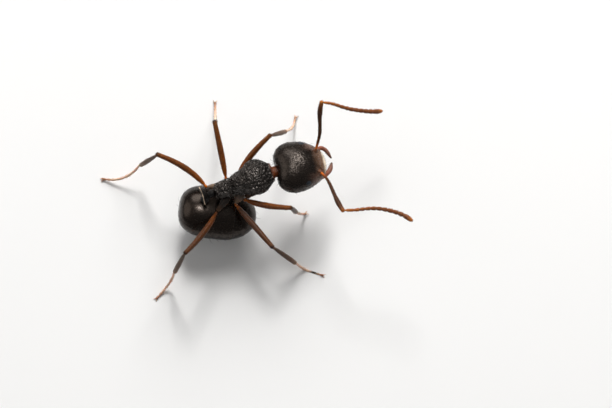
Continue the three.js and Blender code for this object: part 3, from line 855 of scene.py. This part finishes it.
waistShape = {
    "stalk": [(0, 0.665, 1.305), (-0.02, 0.82, 1.24), (-0.07, 0.99, 1.085)],
    "radii": [0.074, 0.07, 0.084],
    "scaleX": -0.029,
    "scale": [  # z, y, half width, half thickness
        (1.165, 0.883, 0.0, 0.0),
        (1.17, 0.885, 0.1, 0.07),
        (1.25, 0.9, 0.15, 0.062),
        (1.34, 0.925, 0.198, 0.05),
        (1.4, 0.942, 0.205, 0.036),
        (1.44, 0.953, 0.165, 0.022),
        (1.458, 0.958, 0.09, 0.010),
        (1.462, 0.959, 0.0, 0.0),
    ],
    "bow": (0.03, 0.2),  # the scale's edges lie this far back, at this far aside
    "dent": {"deep": 0.02, "wide": 0.05, "from": 0.6, "to": 0.9},  # in the middle of the crest
    "crestAbove": (0.86, 0.94),
    "crestAside": (0.9, 0.97),
    "crestSides": (0.45, 0.6),
    "netSize": 0.05,
    "netDepth": 0.005,
    "netLevel": 0.7,
    "dark": [(0.0012, 0.0009, 0.0008), (0.006, 0.0042, 0.0034)],
    # a pale thin edge along the top of the scale, partly a painted highlight
    "crest": (0.42, 0.31, 0.22),
    "rough": (0.5, 0.65),
}


def waistFinish():
    f = Finish("waist_cuticle", Specular_IOR_Level=0.3)
    dark = f.mix(f.noise(6.0).between(*usual), *waistShape["dark"])
    # the pale crest line is partly a painted highlight
    colour = f.mix(f.attribute("crest"), dark, waistShape["crest"])
    rough = f.uneven(30.0, *waistShape["rough"])
    return f.use(Base_Color=colour, Roughness=rough, Normal=f.bump(f.cells(30.0), 0.008, 0.6))


def scalePoint(share, angle):
    z, y, wide, thick = blendRow(waistShape["scale"], share)
    x, depth = oval(wide, thick, angle)
    dent, (back, aside) = waistShape["dent"], waistShape["bow"]
    z -= dent["deep"] * bell(x, dent["wide"]) * smooth(dent["from"], dent["to"], share)
    return Vector((x + waistShape["scaleX"], y + depth + back * (x / aside) ** 2, z))


mesh = openMesh("crest")
path = curvePath([Vector(spot) for spot in waistShape["stalk"]])
paleCrestHighlightLayer, alongLayer = (mesh.verts.layers.float[name] for name in ("crest", "along"))
stalk = sweep(mesh, path, rounded(path, waistShape["radii"], 40), 32, sidewise)
plate = ball(mesh, 96, 72, scalePoint)
for vert in plate:
    share = vert[alongLayer]
    aside = abs(vert.co.x - waistShape["scaleX"]) / max(0.01, blendRow(waistShape["scale"], share)[2])
    edge = smooth(*waistShape["crestAside"], aside) * smooth(*waistShape["crestSides"], share)
    vert[paleCrestHighlightLayer] = max(smooth(*waistShape["crestAbove"], share), edge)
netDepth, netLevel = waistShape["netDepth"], waistShape["netLevel"]
carve(mesh, plate + stalk, lambda point: netDepth * (pits(point, waistShape["netSize"]) - netLevel))
finishPiece(mesh, "waist", ["petiole"], waistFinish())

print("gaster")  # four nested plates
gasterShape = {
    "at": (-0.296, 0.713, 0.6),
    "yaw": -23,
    "pitch": 11,
    "half": (0.588, 0.855, 0.42),
    "bluntTip": 2.25,
    "bluntRear": 2.9,
    "step": 0.012,  # each plate is this share slimmer than the one before
    "plates": ["gaster_first", "gaster_second", "gaster_third", "gaster_tip"],
    "edges": [1, 0.12, -0.38, -0.72, -1],
    "overlap": 0.05,
    "rows": 44,
    "sides": 128,
    "smallest": 0.012,
    "tuck": 0.985,  # the hidden front of a plate starts this slim and widens over some rows
    "tuckRows": 5,
    "swell": 1.004,
    "lip": [(0.006, 0.998), (0.006, 0.985), (-0.01, 0.97)],  # distance past the edge, share of its radius
    "sideSeam": {"at": 0.53, "wide": 0.025, "deep": 0.006},
    "belly": (0.5, 0.56),
    "dullSpot": (-0.06, 0.8, 1.0),  # below the waist
    "dullFade": (0.2, 0.11),
}
gasterTones = {
    "dark": [(0.0012, 0.0007, 0.0005), (0.0036, 0.0020, 0.0013)],
    "band": (0.018, 0.009, 0.0045),
    "bandWide": 0.05,
    "belly": (0.004, 0.0024, 0.0016),
    "rough": (0.22, 0.3),
    "dull": 0.45,
    "coat": 0.2,
}
gasterPlace = (
    Matrix.Translation(gasterShape["at"])
    @ Matrix.Rotation(math.radians(gasterShape["yaw"]), 4, "Z")
    @ Matrix.Rotation(math.radians(gasterShape["pitch"]), 4, "X")
)


def gasterFinish():
    tint = (1.0, 0.80, 0.68, 1)
    f = Finish("gaster_cuticle", Specular_IOR_Level=0.42, Specular_Tint=tint, Coat_Roughness=0.14)
    margin, belly, dull = (f.attribute(name) for name in ("margin", "belly", "dull"))
    cloud = f.noise(2.6)
    dark = f.mix(cloud.between(0.35, 0.65), *gasterTones["dark"])
    band = f.mix(margin.between(0.0, gasterTones["bandWide"], 0.6, 0.0), dark, gasterTones["band"])
    colour = f.mix(belly * 0.6, band, gasterTones["belly"])
    turn = (0, 0, math.radians(-gasterShape["yaw"]))
    lines = f.add("Mapping", None, {"Vector": f.spot, "Rotation": turn, "Scale": (14, 90, 30)})
    fine = f.add("TexNoise", None, {"Vector": lines, "Scale": 1.0, "Detail": 3.0})
    rough = f.uneven(18.0, *gasterTones["rough"]) + dull * gasterTones["dull"]
    coat = cloud * (1 - dull) * gasterTones["coat"]
    return f.use(Base_Color=colour, Roughness=rough, Normal=f.bump(fine, 0.002, 0.4), Coat_Weight=coat)


def girth(share):
    blunt = gasterShape["bluntRear"] if share > 0 else gasterShape["bluntTip"]
    return max(0.0, 1 - abs(share) ** blunt) ** (1 / blunt)


def plateRows(number):
    # stations of one plate, from its front to its free edge
    wide, long = gasterShape["half"][:2]
    scale = 1 - gasterShape["step"] * number
    start, end = gasterShape["edges"][number:number + 2]
    if number:
        start += gasterShape["overlap"]
    first, last = math.asin(start), math.asin(end)
    rows, hidden = [], gasterShape["tuckRows"]
    for k in range(gasterShape["rows"] + 1):
        share = math.sin(first + (last - first) * k / gasterShape["rows"])
        size = max(girth(share), gasterShape["smallest"]) * scale
        if number and k < hidden:
            size *= gasterShape["tuck"] + (1 - gasterShape["tuck"]) * k / hidden
        rows.append((long * (1 - share), size * wide))
    if end > -1:  # the free edge thickens a little, rolls in and tucks under
        distance, size = rows[-1]
        rows[-1] = (distance, size * gasterShape["swell"])
        rows += [(distance + past, size * slim) for past, slim in gasterShape["lip"]]
    return rows


gasterLook = gasterFinish()
wide, long, thick = gasterShape["half"]
line = Path([frontwise * -long, frontwise * long])
gasterSkins = []
for i, name in enumerate(gasterShape["plates"]):
    mesh = openMesh("margin", "belly", "dull")
    skin = sweep(mesh, line, plateRows(i), gasterShape["sides"], sidewise, thick / wide)
    marginLayer, bellyLayer, dullLayer = (mesh.verts.layers.float[key] for key in ("margin", "belly", "dull"))
    end, seam = gasterShape["edges"][i + 1], gasterShape["sideSeam"]
    for vert in skin:
        vert[marginLayer] = vert.co.y - end * long if end > -1 else 1.0
        rise = vert.co.z / max(0.02, thick * girth(vert.co.y / long))
        vert[bellyLayer] = smooth(*gasterShape["belly"], rise)
        vert.co *= 1 - seam["deep"] * bell(rise - seam["at"], seam["wide"])
        far = (gasterPlace @ vert.co - Vector(gasterShape["dullSpot"])).length
        vert[dullLayer] = smooth(*gasterShape["dullFade"], far)
    gasterSkins.append(finishPiece(mesh, name, [name], gasterLook, gasterPlace))

print("legs")
legLine = -0.05  # x of the line midway between left and right leg bases
pairs = {
    "front": {"base": (0.1, -0.2, 1.24), "coxa": 0.36, "femur": 1.14, "tibia": 0.86},
    "middle": {"base": (0.16, 0.165, 1.21), "coxa": 0.27, "femur": 1.27, "tibia": 0.94},
    "hind": {"base": (0.15, 0.46, 1.21), "coxa": 0.39, "femur": 1.28, "tibia": 0.96},
}
legShape = {
    "coxa": [0.078, 0.082, 0.062, 0.046],
    "femur": [0.026, 0.054, 0.064, 0.067, 0.062, 0.055, 0.049],
    "tibia": [0.03, 0.043, 0.05, 0.053, 0.047],
    "tarsus": (0.034, 0.025),
    "toes": [0.46, 0.18, 0.13, 0.09, 0.14],
    "gap": 0.012,
    "coxaNet": {"size": 0.034, "depth": 0.004, "level": 0.7},
    "hipPinch": (-0.34, 0.085, 0.014),  # share of the radius, distance from the start, width
    "hipBead": (0.22, 0.045, 0.024),
    "kneeSwell": (0.05, 0.06, 0.03),  # this one and ankleSwell are told from the end
    "kneePinch": (-0.12, 0.07, 0.03),
    "ankleSwell": (0.06, 0.05, 0.03),
    "kneeTuck": 0.02,
    "spur": {"long": 0.1, "wide": 0.009, "aside": 0.03, "lean": 0.45, "arch": 0.12, "point": 0.0012},
    "tarsusNeck": [(-0.03, 0.008), (-0.024, 0.018), (-0.008, 0.02)],
    "soleLevel": 0.8,  # share of the last radius
}
# Along each joint of a foot: share of its length, share of its full radius.
toeProfile = [
    (0.0, 0.66), (0.04, 0.72), (0.2, 0.86), (0.5, 0.9), (0.75, 0.97), (0.9, 1.06), (0.96, 0.98), (0.99, 0.7),
]
lastToeProfile = [(0.0, 0.6), (0.05, 0.68), (0.3, 0.8), (0.6, 1.0), (0.85, 1.05), (0.95, 0.85), (1.0, 0.4)]
clawShape = {
    "long": 0.085,
    "wide": 0.0135,
    "point": 0.0012,
    "spread": 28,
    "root": 0.95,  # share along the foot
    "arch": (0.75, 1.3),  # share of the length, and of the root's height
    "tipHeight": 0.0015,
    "rows": (0, 0.15, 0.3, 0.45, 0.6, 0.75, 0.88, 1),
}
stance = [  # colours and stoutness, headings of each segment, then the foot
    {
        "pair": "front", "side": 1,
        "coxa": (145.3, -23), "femur": (30, 22.3), "bow": 0.055, "tibia": (24.6, -59.5),
        "tarsus": 49.6, "reach": 0.595, "sag": 0.06, "swerve": -0.06,
    },
    {
        "pair": "front", "side": -1, "bead": 0.5, "stout": 1.65,
        "coxa": (-151.6, -23.3), "femur": (-35, 22.9), "bow": -0.055, "tibia": (32.5, -78.8),
        "tarsus": 13.8, "reach": 0.251, "sag": 0.03, "swerve": 0,
    },
    {
        "pair": "middle", "side": 1,
        "coxa": (139, -33), "femur": (84, 22), "bow": -0.008, "tibia": (70, -74),
        "tarsus": 73, "reach": 0.615, "sag": 0.1, "swerve": 0,
    },
    {
        # painted shade on this femur, and a painted highlight on its coxa
        "pair": "middle", "side": -1, "tone": "dark", "hip": "grey", "stout": 1.3,
        "coxa": (-139.3, -43.7), "femur": (-68.8, 4.8), "bow": 0, "tibia": (-35.2, -57),
        "tarsus": -36.2, "reach": 0.661, "sag": 0.18, "swerve": 0,
    },
    {
        # painted highlight on this coxa
        "pair": "hind", "side": 1, "hip": "grey",
        "coxa": (162, -20), "femur": (131.2, 16), "bow": -0.1, "tibia": (158.4, -68.2),
        "tarsus": 173.3, "reach": 0.893, "sag": 0.08, "swerve": 0.12,
    },
    {
        # painted shade on this femur, darkest of all
        "pair": "hind", "side": -1, "tone": "deepShaded",
        "coxa": (-146, -13), "femur": (-141.5, 19), "bow": 0.05, "tibia": (-159.5, -72.3),
        "tarsus": -150.2, "reach": 0.633, "sag": 0.2, "swerve": 0,
    },
]
coxaStops = {
    "dark": [(0.0, (0.008, 0.0065, 0.0055)), (0.6, (0.03, 0.022, 0.018)), (1.0, (0.12, 0.055, 0.022))],
    # painted highlight: these paler coxa colours stand for a light streak along the coxa
    "grey": [(0.0, (0.02, 0.016, 0.013)), (0.35, (0.15, 0.11, 0.085)), (1.0, (0.24, 0.15, 0.09))],
}
femurStops = [
    (0.0, (0.72, 0.19, 0.012)), (0.07, (0.60, 0.14, 0.008)), (0.13, (0.28, 0.070, 0.006)),
    (0.45, (0.16, 0.042, 0.005)), (0.85, (0.19, 0.053, 0.008)), (0.94, (0.24, 0.075, 0.015)),
    (1.0, (0.02, 0.008, 0.004)),
]
rootShare = 0.1  # colour stops nearer than this belong to the femur's root


def dimmed(stops, root, rest):
    shares = [root if at < rootShare else rest for at, colour in stops]
    return [(at, tuple(value * share for value in colour)) for (at, colour), share in zip(stops, shares)]


coxaLooks = {}
for tone, stops in coxaStops.items():
    coxaLooks[tone] = limbFinish(tone + "_coxa_cuticle", stops, darker=0.4, roughness=0.42, glow=0.08)
femurLooks = {  # painted shade: the hind and middle legs of the right side, away from the lamps, get darker copies of the femur colours
    "bright": limbFinish("femur_cuticle", femurStops, darker=0.5, roughness=0.32, glow=0.12),
    "dark": limbFinish(
        "femur_dark_cuticle", dimmed(femurStops, 1.0, 0.5), darker=0.6, roughness=0.3, glow=0.06,
    ),
    "deepShaded": limbFinish(
        "femur_darkest_cuticle", dimmed(femurStops, 0.3, 0.45), darker=0.6, roughness=0.3, glow=0.06,
    ),
}
tibiaLook = limbFinish(
    "tibia_cuticle",
    [
        (0.0, (0.17, 0.055, 0.015)), (0.08, (0.065, 0.032, 0.016)), (0.6, (0.10, 0.052, 0.028)),
        (0.86, (0.17, 0.095, 0.055)), (1.0, (0.42, 0.26, 0.16)),
    ],
    darker=0.35, roughness=0.42, glow=0.12,
)
tarsusLook = limbFinish(
    "tarsus_cuticle",
    [
        (0.0, (0.80, 0.56, 0.42)), (0.7, (0.74, 0.49, 0.35)), (0.86, (0.52, 0.29, 0.18)),
        (1.0, (0.26, 0.12, 0.07)),
    ],
    darker=0.12, roughness=0.42, glow=0.3,
)


def legJoints(leg):
    pair = pairs[leg["pair"]]
    aside, y, z = pair["base"]
    joints = [Vector((legLine + leg["side"] * aside, y, z))]
    for part in ("coxa", "femur", "tibia"):
        joints.append(joints[-1] + heading(*leg[part]) * pair[part])
    return joints


def segmentPath(start, end, direction, at, bow=0.0):
    # from start to end along a heading, bowed sideways most at 0.42 of the way
    along = heading(*direction)
    across = Vector((-along.y, along.x, 0)).normalized()
    middle = at + along * (start + (end - start) * 0.42) + across * (2 * bow)
    return arcPath(at + along * start, middle, at + along * end), across


def swelled(rows, share, place, width, end=None):
    # a tube swells, or shrinks where the share is below 0, at a distance from its start or before its end
    at = place if end is None else end - place
    return [(distance, radius * (1 + share * bell(distance - at, width))) for distance, radius in rows]


def spur(mesh, leg, ankle):
    # a thin curved spur at the inner side of the ankle
    shape, shin = legShape["spur"], heading(*leg["tibia"])
    inner = heading(leg["tarsus"] + 180, 0)
    inner = (inner - shin * inner.dot(shin)).normalized()
    root, direction = ankle + inner * shape["aside"], (shin + inner * shape["lean"]).normalized()
    tip = root + direction * shape["long"]
    path = arcPath(root, root.lerp(tip, 0.5) + Vector((0, 0, shape["arch"] * shape["long"])), tip, 10)
    steps = (0, 0.25, 0.5, 0.75, 1)
    rows = [(path.length * t, shape["wide"] * (1 - t) ** 0.8 + shape["point"]) for t in steps]
    for vert in sweep(mesh, path, rows, 8, direction.orthogonal()):
        vert[mesh.verts.layers.float["along"]] = 1.0


def bentFoot(leg, ankle):
    out = heading(leg["tarsus"], 0)
    across = Vector((-out.y, out.x, 0))
    foot = ankle + out * leg["reach"]
    foot.z = legShape["tarsus"][1] * legShape["soleLevel"]
    along = (foot - ankle).normalized()
    start = ankle + along * (legShape["tibia"][-1] + legShape["gap"])
    inward = (along * out.dot(along) - out).normalized()
    middle = start.lerp(foot, 0.5) + inward * (2 * leg["sag"]) + across * (2 * leg["swerve"])
    return arcPath(start, middle, foot, 80), across


def claw(mesh, leg, path, side):
    out = heading(leg["tarsus"] + side * clawShape["spread"], 0)
    root = path.at(path.length * clawShape["root"])[0]
    share, lift = clawShape["arch"]
    arch = root + out * clawShape["long"] * share
    arch.z = root.z * lift
    tip = root + out * clawShape["long"]
    tip.z = clawShape["tipHeight"]
    line = arcPath(root, arch, tip, 16)
    wide, point = clawShape["wide"], clawShape["point"]
    rows = [(line.length * t, wide * (1 - t ** 1.6) + point) for t in clawShape["rows"]]
    sweep(mesh, line, rows, 12, Vector((-out.y, out.x, 0)))


kneeWide = legShape["femur"][-1]
for leg in stance:
    label = leg["pair"] + ("_left" if leg["side"] > 0 else "_right")
    pair = pairs[leg["pair"]]
    base, hip, knee, ankle = legJoints(leg)

    mesh, name = openMesh(), "coxa_" + label
    end = pair["coxa"] - legShape["femur"][0] - legShape["gap"]
    path, across = segmentPath(-legShape["coxa"][0], end, leg["coxa"], base)
    radii = [radius * leg.get("stout", 1.0) for radius in legShape["coxa"]]
    skin = sweep(mesh, path, rounded(path, radii, 40), 32, across)
    net = legShape["coxaNet"]
    carve(mesh, skin, lambda point: net["depth"] * (pits(point, net["size"]) - net["level"]))
    skins[name] = finishPiece(mesh, name, [name], coxaLooks[leg.get("hip", "dark")])

    mesh, name = openMesh(), "femur_" + label
    path, across = segmentPath(-legShape["femur"][0], pair["femur"] + kneeWide, leg["femur"], hip, leg["bow"])
    bead, beadAt, beadWide = legShape["hipBead"]
    rows = swelled(rounded(path, legShape["femur"], 60), *legShape["hipPinch"])
    rows = swelled(rows, leg.get("bead", bead), beadAt, beadWide)
    rows = swelled(rows, *legShape["kneeSwell"], end=path.length)
    sweep(mesh, path, rows, 28, across)
    skins[name] = finishPiece(mesh, name, [name], femurLooks[leg.get("tone", "bright")])

    mesh, name = openMesh(), "tibia_" + label
    start, end = kneeWide + legShape["gap"] - legShape["kneeTuck"], pair["tibia"] + legShape["tibia"][-1]
    path, across = segmentPath(start, end, leg["tibia"], knee)
    rows = swelled(rounded(path, legShape["tibia"], 50), *legShape["kneePinch"])
    rows = swelled(rows, *legShape["ankleSwell"], end=path.length)
    sweep(mesh, path, rows, 28, across)
    spur(mesh, leg, ankle)
    skins[name] = finishPiece(mesh, name, [name], tibiaLook)

    mesh, name = openMesh(), "tarsus_" + label
    path, across = bentFoot(leg, ankle)
    toes = beadRows(path.length, legShape["toes"], legShape["tarsus"], toeProfile, lastToeProfile)
    sweep(mesh, path, legShape["tarsusNeck"] + toes, 20, across)
    for side in (1, -1):
        claw(mesh, leg, path, side)
    for vert in mesh.verts:  # the soles are flat on the floor
        vert.co.z = max(vert.co.z, 0.0)
    skins[name] = finishPiece(mesh, name, [name], tarsusLook)

print("hairs")
hairShape = {
    "seed": 11,
    "spread": 0.22,  # how far hairs stray sideways, as a share of their direction
    "variety": 0.18,  # how much their lengths and lifts differ
    "droop": 0.45,  # share of the lift that is gone at the tip
    "middle": (0.45, 0.8),  # share along and share of the radius at the middle ring
}
silver = {"root": (0.004, 0.003, 0.0024), "tip": (0.028, 0.022, 0.018), "rough": (0.35, 0.5)}
golden = {"root": (0.09, 0.036, 0.012), "tip": (0.24, 0.12, 0.05), "rough": (0.35, 0.5)}
hairRandom = np.random.default_rng(hairShape["seed"])
smallest = 1e-9  # faces and leanings under this size are passed over
lowestHair = 0.001  # no hair dips under the floor
hairAlong = [0, 0, 0, 0.5, 0.5, 0.5, 1.0]  # share along at each of a hair's points
# The map: each hair is a small patch at its root's place, and the patches fill their skin's square.
hairPatch = np.array([
    (0, 0), (0.003, 0), (0.0015, 0.002), (0, 0.001), (0.003, 0.001), (0.0015, 0.003), (0.0015, 0.0015),
])
tileFill, patchFill = 0.98, 0.995
placeDigits, shareDigits = 4, 5  # decimals that come out the same in every run


def hairFinish(name, tones):
    f = Finish(name, Specular_IOR_Level=0.3)
    colour = f.mix(f.attribute("along"), tones["root"], tones["tip"])
    return f.use(Base_Color=colour, Roughness=f.uneven(60.0, *tones["rough"]))


def steadyOrder(spots, along, around, quads):
    # mesh operators number points and faces anew in each run, so the faces get an order of their own
    rank = np.empty(len(spots), dtype=int)
    keys = (*np.round(spots, placeDigits).T, np.round(along, shareDigits), np.round(around, shareDigits) % 1)
    rank[np.lexsort(keys)] = np.arange(len(spots))
    first = rank[quads].argmin(axis=1)
    quads = np.take_along_axis(quads, (first[:, None] + np.arange(4)) % 4, axis=1)
    return quads[np.lexsort(rank[quads].T[::-1])]


def skinArrays(piece):
    # the points in millimetres, what they carry, and the corners of each four-sided face
    data = piece.data
    spots = np.zeros(len(data.vertices) * 3)
    data.vertices.foreach_get("co", spots)
    spots = spots.reshape(-1, 3) / millimetre
    layers = []
    for name in ("along", "around"):
        values = np.zeros(len(data.vertices))
        data.attributes[name].data.foreach_get("value", values)
        layers.append(values)
    along, around = layers
    quads = np.array([p.vertices[:] for p in data.polygons if len(p.vertices) == 4])
    return spots, along, around, steadyOrder(spots, along, around, quads)


def unit(vectors):
    return vectors / np.linalg.norm(vectors, axis=1)[:, None]


def growHairs(pieces, count, length, radius, lift, keep=None):
    # roots spread evenly over the skins, each hair leaning along its skin's length
    found = []
    for number, piece in enumerate(pieces):
        spots, along, around, quads = skinArrays(piece)
        corners = spots[quads]
        normal = np.cross(corners[:, 2] - corners[:, 0], corners[:, 3] - corners[:, 1])
        area = np.linalg.norm(normal, axis=1) / 2
        good = area > smallest
        quads, corners, area = quads[good], corners[good], area[good]
        normal = unit(normal[good])
        shares = along[quads]
        ahead = shares - shares.mean(axis=1)[:, None]
        lean = (corners * ahead[:, :, None]).sum(axis=1)
        lean -= normal * (lean * normal).sum(axis=1)[:, None]
        leans = np.linalg.norm(lean, axis=1) > smallest
        lean[leans] = unit(lean[leans])
        turns, numbers = around[quads[:, 0]], np.full(len(quads), number)
        found.append((corners, normal, lean, area * leans, shares.mean(axis=1), turns, numbers))
    corners, normal, lean, area, along, around, number = (np.concatenate(column) for column in zip(*found))
    if keep is not None:
        area = area * keep(normal, along)
    pick = hairRandom.choice(len(area), size=count, p=area / area.sum())
    u, v = hairRandom.random((2, count, 1))
    four = corners[pick]
    root = (four[:, 0] * (1 - u) + four[:, 1] * u) * (1 - v) + (four[:, 3] * (1 - u) + four[:, 2] * u) * v
    up, way = normal[pick], lean[pick]
    way = unit(way + np.cross(up, way) * hairRandom.normal(0, hairShape["spread"], (count, 1)))
    side = np.cross(up, way)
    angle = np.radians(lift * (1 + hairRandom.normal(0, hairShape["variety"], (count, 1))))
    long = length * (1 + hairRandom.normal(0, hairShape["variety"], (count, 1)))
    rings = []
    for t, wide in ((0.0, 1.0), hairShape["middle"]):
        bend = angle * (1 - hairShape["droop"] * t)
        core = root + (way * np.cos(bend) + up * np.sin(bend)) * long * t - up * radius * (1 - t)
        across = up * np.cos(bend) - way * np.sin(bend)
        for turn in (0, 120, 240):
            c, s = math.cos(math.radians(turn)), math.sin(math.radians(turn))
            rings.append(core + (across * c + side * s) * radius * wide)
    bend = angle * (1 - hairShape["droop"])
    rings.append(root + (way * np.cos(bend) + up * np.sin(bend)) * long)
    tiles = math.ceil(math.sqrt(len(pieces)))  # each skin has its own square of the map
    column = (number[pick] % tiles + around[pick] * tileFill) / tiles
    row = (number[pick] // tiles + along[pick] * tileFill) / tiles
    return np.stack(rings, axis=1), np.stack([column, row], axis=1)


def hairPiece(name, groups, finish):
    # each hair has seven points: two rings of three, then its tip; -1 stands for no fourth corner
    points = np.concatenate([group[0] for group in groups])
    points[:, :, 2] = np.maximum(points[:, :, 2], lowestHair)
    patch = np.concatenate([group[1] for group in groups])
    count, each = points.shape[:2]
    faces = np.array([
        (0, 2, 1, -1), (0, 1, 4, 3), (1, 2, 5, 4), (2, 0, 3, 5), (3, 4, 6, -1), (4, 5, 6, -1), (5, 3, 6, -1),
    ])
    flat = faces[faces >= 0]
    loops = (flat[None, :] + each * np.arange(count)[:, None]).ravel()
    totals = np.tile((faces >= 0).sum(axis=1), count)
    data = bpy.data.meshes.new(name)
    data.vertices.add(count * each)
    data.vertices.foreach_set("co", (points.reshape(-1, 3) * millimetre).ravel())
    data.loops.add(len(loops))
    data.loops.foreach_set("vertex_index", loops)
    data.polygons.add(len(totals))
    data.polygons.foreach_set("loop_start", np.concatenate([[0], np.cumsum(totals)[:-1]]))
    data.update(calc_edges=True)
    bake = data.uv_layers.new(name="OFBake")
    spots = np.repeat(patch, len(flat), axis=0) * patchFill + np.tile(hairPatch[flat], (count, 1))
    bake.data.foreach_set("uv", spots.ravel())
    along = data.attributes.new("along", "FLOAT", "POINT")
    along.data.foreach_set("value", np.tile(hairAlong, count))
    data.validate()
    addPiece(data, name, [], finish)


def offFront(normal, along):
    # fewer hairs on the face shield and the underside
    return np.where(along < 0.93, 1.0, 0.15) * np.where(normal[:, 2] > -0.6, 1.0, 0.4)


def skinsOf(*parts):
    return [skins[name] for name in sorted(skins) if name.split("_")[0] in parts]


silverLook, goldenLook = hairFinish("silver_hair", silver), hairFinish("golden_hair", golden)
coats = [  # short and long hairs: how many, their length, radius and lift in degrees
    {
        "name": "hairs_head", "skins": [head], "slot": "head", "finish": silverLook,
        "short": (2200, 0.055, 0.0014, 14, offFront), "long": (36, 0.12, 0.0022, 62),
    },
    {
        "name": "hairs_thorax", "skins": [thorax], "slot": "thorax", "finish": silverLook,
        "short": (900, 0.05, 0.0018, 24), "long": (36, 0.13, 0.0026, 70),
    },
    {
        "name": "hairs_gaster", "skins": gasterSkins, "slot": "gaster", "finish": silverLook,
        "short": (1200, 0.06, 0.0014, 12), "long": (70, 0.15, 0.0028, 50),
    },
    {
        "name": "hairs_legs", "skins": skinsOf("coxa", "femur", "tibia", "tarsus"), "slot": "femur",
        "finish": goldenLook, "short": (4200, 0.042, 0.0015, 26),
    },
    {
        "name": "hairs_antennae", "skins": skinsOf("scape", "funiculus"), "slot": "funiculus",
        "finish": goldenLook, "short": (2600, 0.032, 0.0014, 32),
    },
]
for coat in coats:
    groups = [growHairs(coat["skins"], *coat[kind]) for kind in ("short", "long") if kind in coat]
    hairPiece(coat["name"], groups, coat["finish"])

print("stage")
stage = {
    "floorHalf": 120,
    "floorTones": [(0.845, 0.843, 0.838), (0.855, 0.853, 0.848)],
    "azimuth": 252,
    "elevation": 75,
    "viewWide": 13.30435,  # millimetres across the view where the ant stands
    "thoraxAt": (-1.34348, 0.5087),  # millimetres right of and above the view's middle
    "away": 300,
    "sensor": 36,
    "sky": 0.158,
}
floorFinish = Finish("pale_floor", Specular_IOR_Level=0.2)
floorShade = floorFinish.mix(floorFinish.noise(0.02), *stage["floorTones"])
floorFinish.use(Base_Color=floorShade, Roughness=floorFinish.uneven(0.3, 0.6, 0.7))
mesh = bmesh.new()
bmesh.ops.create_grid(mesh, x_segments=4, y_segments=4, size=stage["floorHalf"] * millimetre)
data = bpy.data.meshes.new("floor")
mesh.to_mesh(data)
mesh.free()
floor = bpy.data.objects.new("floor", data)
data.materials.append(floorFinish.material)
bpy.context.scene.collection.objects.link(floor)

turn, tip = math.radians(stage["azimuth"]), math.radians(stage["elevation"])
back = Vector((math.sin(turn) * math.cos(tip), -math.cos(turn) * math.cos(tip), math.sin(tip)))
right = Vector((math.cos(turn), math.sin(turn), 0))
up = back.cross(right)
middle = Vector((0, 0, thoraxShape["level"])) + shift
aside, above = stage["thoraxAt"]
aim = middle - right * aside - up * above
camera = bpy.data.objects.new("camera", bpy.data.cameras.new("camera"))
camera.data.sensor_width = stage["sensor"]
camera.data.lens = stage["sensor"] * stage["away"] / stage["viewWide"]
camera.data.clip_start, camera.data.clip_end = 0.01, 10
camera.location = (aim + back * stage["away"]) * millimetre
camera.rotation_mode = "QUATERNION"
camera.rotation_quaternion = Matrix((right, up, back)).transposed().to_quaternion()
bpy.context.scene.collection.objects.link(camera)
bpy.context.scene.camera = camera


def softLight(name, azimuth, elevation, away, wide, power, colour, task):
    # azimuth 0 is the top of the view and grows toward its left
    turn, tip = math.radians(azimuth), math.radians(elevation)
    top = Vector((-right.y, right.x, 0))
    flat = top * math.cos(turn) - right * math.sin(turn)
    toward = flat * math.cos(tip) + upright * math.sin(tip)
    lamp = bpy.data.lights.new(name, "AREA")
    lamp.shape, lamp.size = "DISK", wide * millimetre
    lamp.energy, lamp.color = power, colour
    light = bpy.data.objects.new(name, lamp)
    light.location = (middle + toward * away) * millimetre
    light.rotation_mode = "QUATERNION"
    light.rotation_quaternion = toward.to_track_quat("Z", "Y")
    light.visible_diffuse = task == "surface"
    light.visible_glossy = task == "shine"
    bpy.context.scene.collection.objects.link(light)


lamps = {  # azimuth, elevation, distance, width, power, colour, and what the lamp acts on
    "key": (0, 43, 115, 27, 0.068, (1.0, 0.99, 0.98), "surface"),
    "broad": (-12, 35, 120, 90, 0.155, (1.0, 0.995, 0.985), "surface"),
    "left": (95, 35, 120, 70, 0.014, (1.0, 1.0, 1.0), "surface"),
    "right": (-100, 35, 120, 70, 0.011, (1.0, 1.0, 1.0), "surface"),
    "crown": (-2, 82, 90, 13, 0.0165, (1.0, 0.98, 0.96), "shine"),
    "brow": (-24, 57, 90, 15, 0.025, (1.0, 0.98, 0.96), "shine"),
    "sheen": (8, 44, 90, 50, 0.021, (1.0, 0.97, 0.94), "shine"),
    "side": (82, 38, 120, 110, 0.036, (1.0, 0.93, 0.86), "shine"),
}
for name, values in lamps.items():
    softLight(name, *values)
world = bpy.data.worlds.new("studio")
world.use_nodes = True
world.node_tree.nodes["Background"].inputs["Color"].default_value = (1, 1, 1, 1)
world.node_tree.nodes["Background"].inputs["Strength"].default_value = stage["sky"]
bpy.context.scene.world = world
bpy.context.scene.view_settings.view_transform = "Standard"
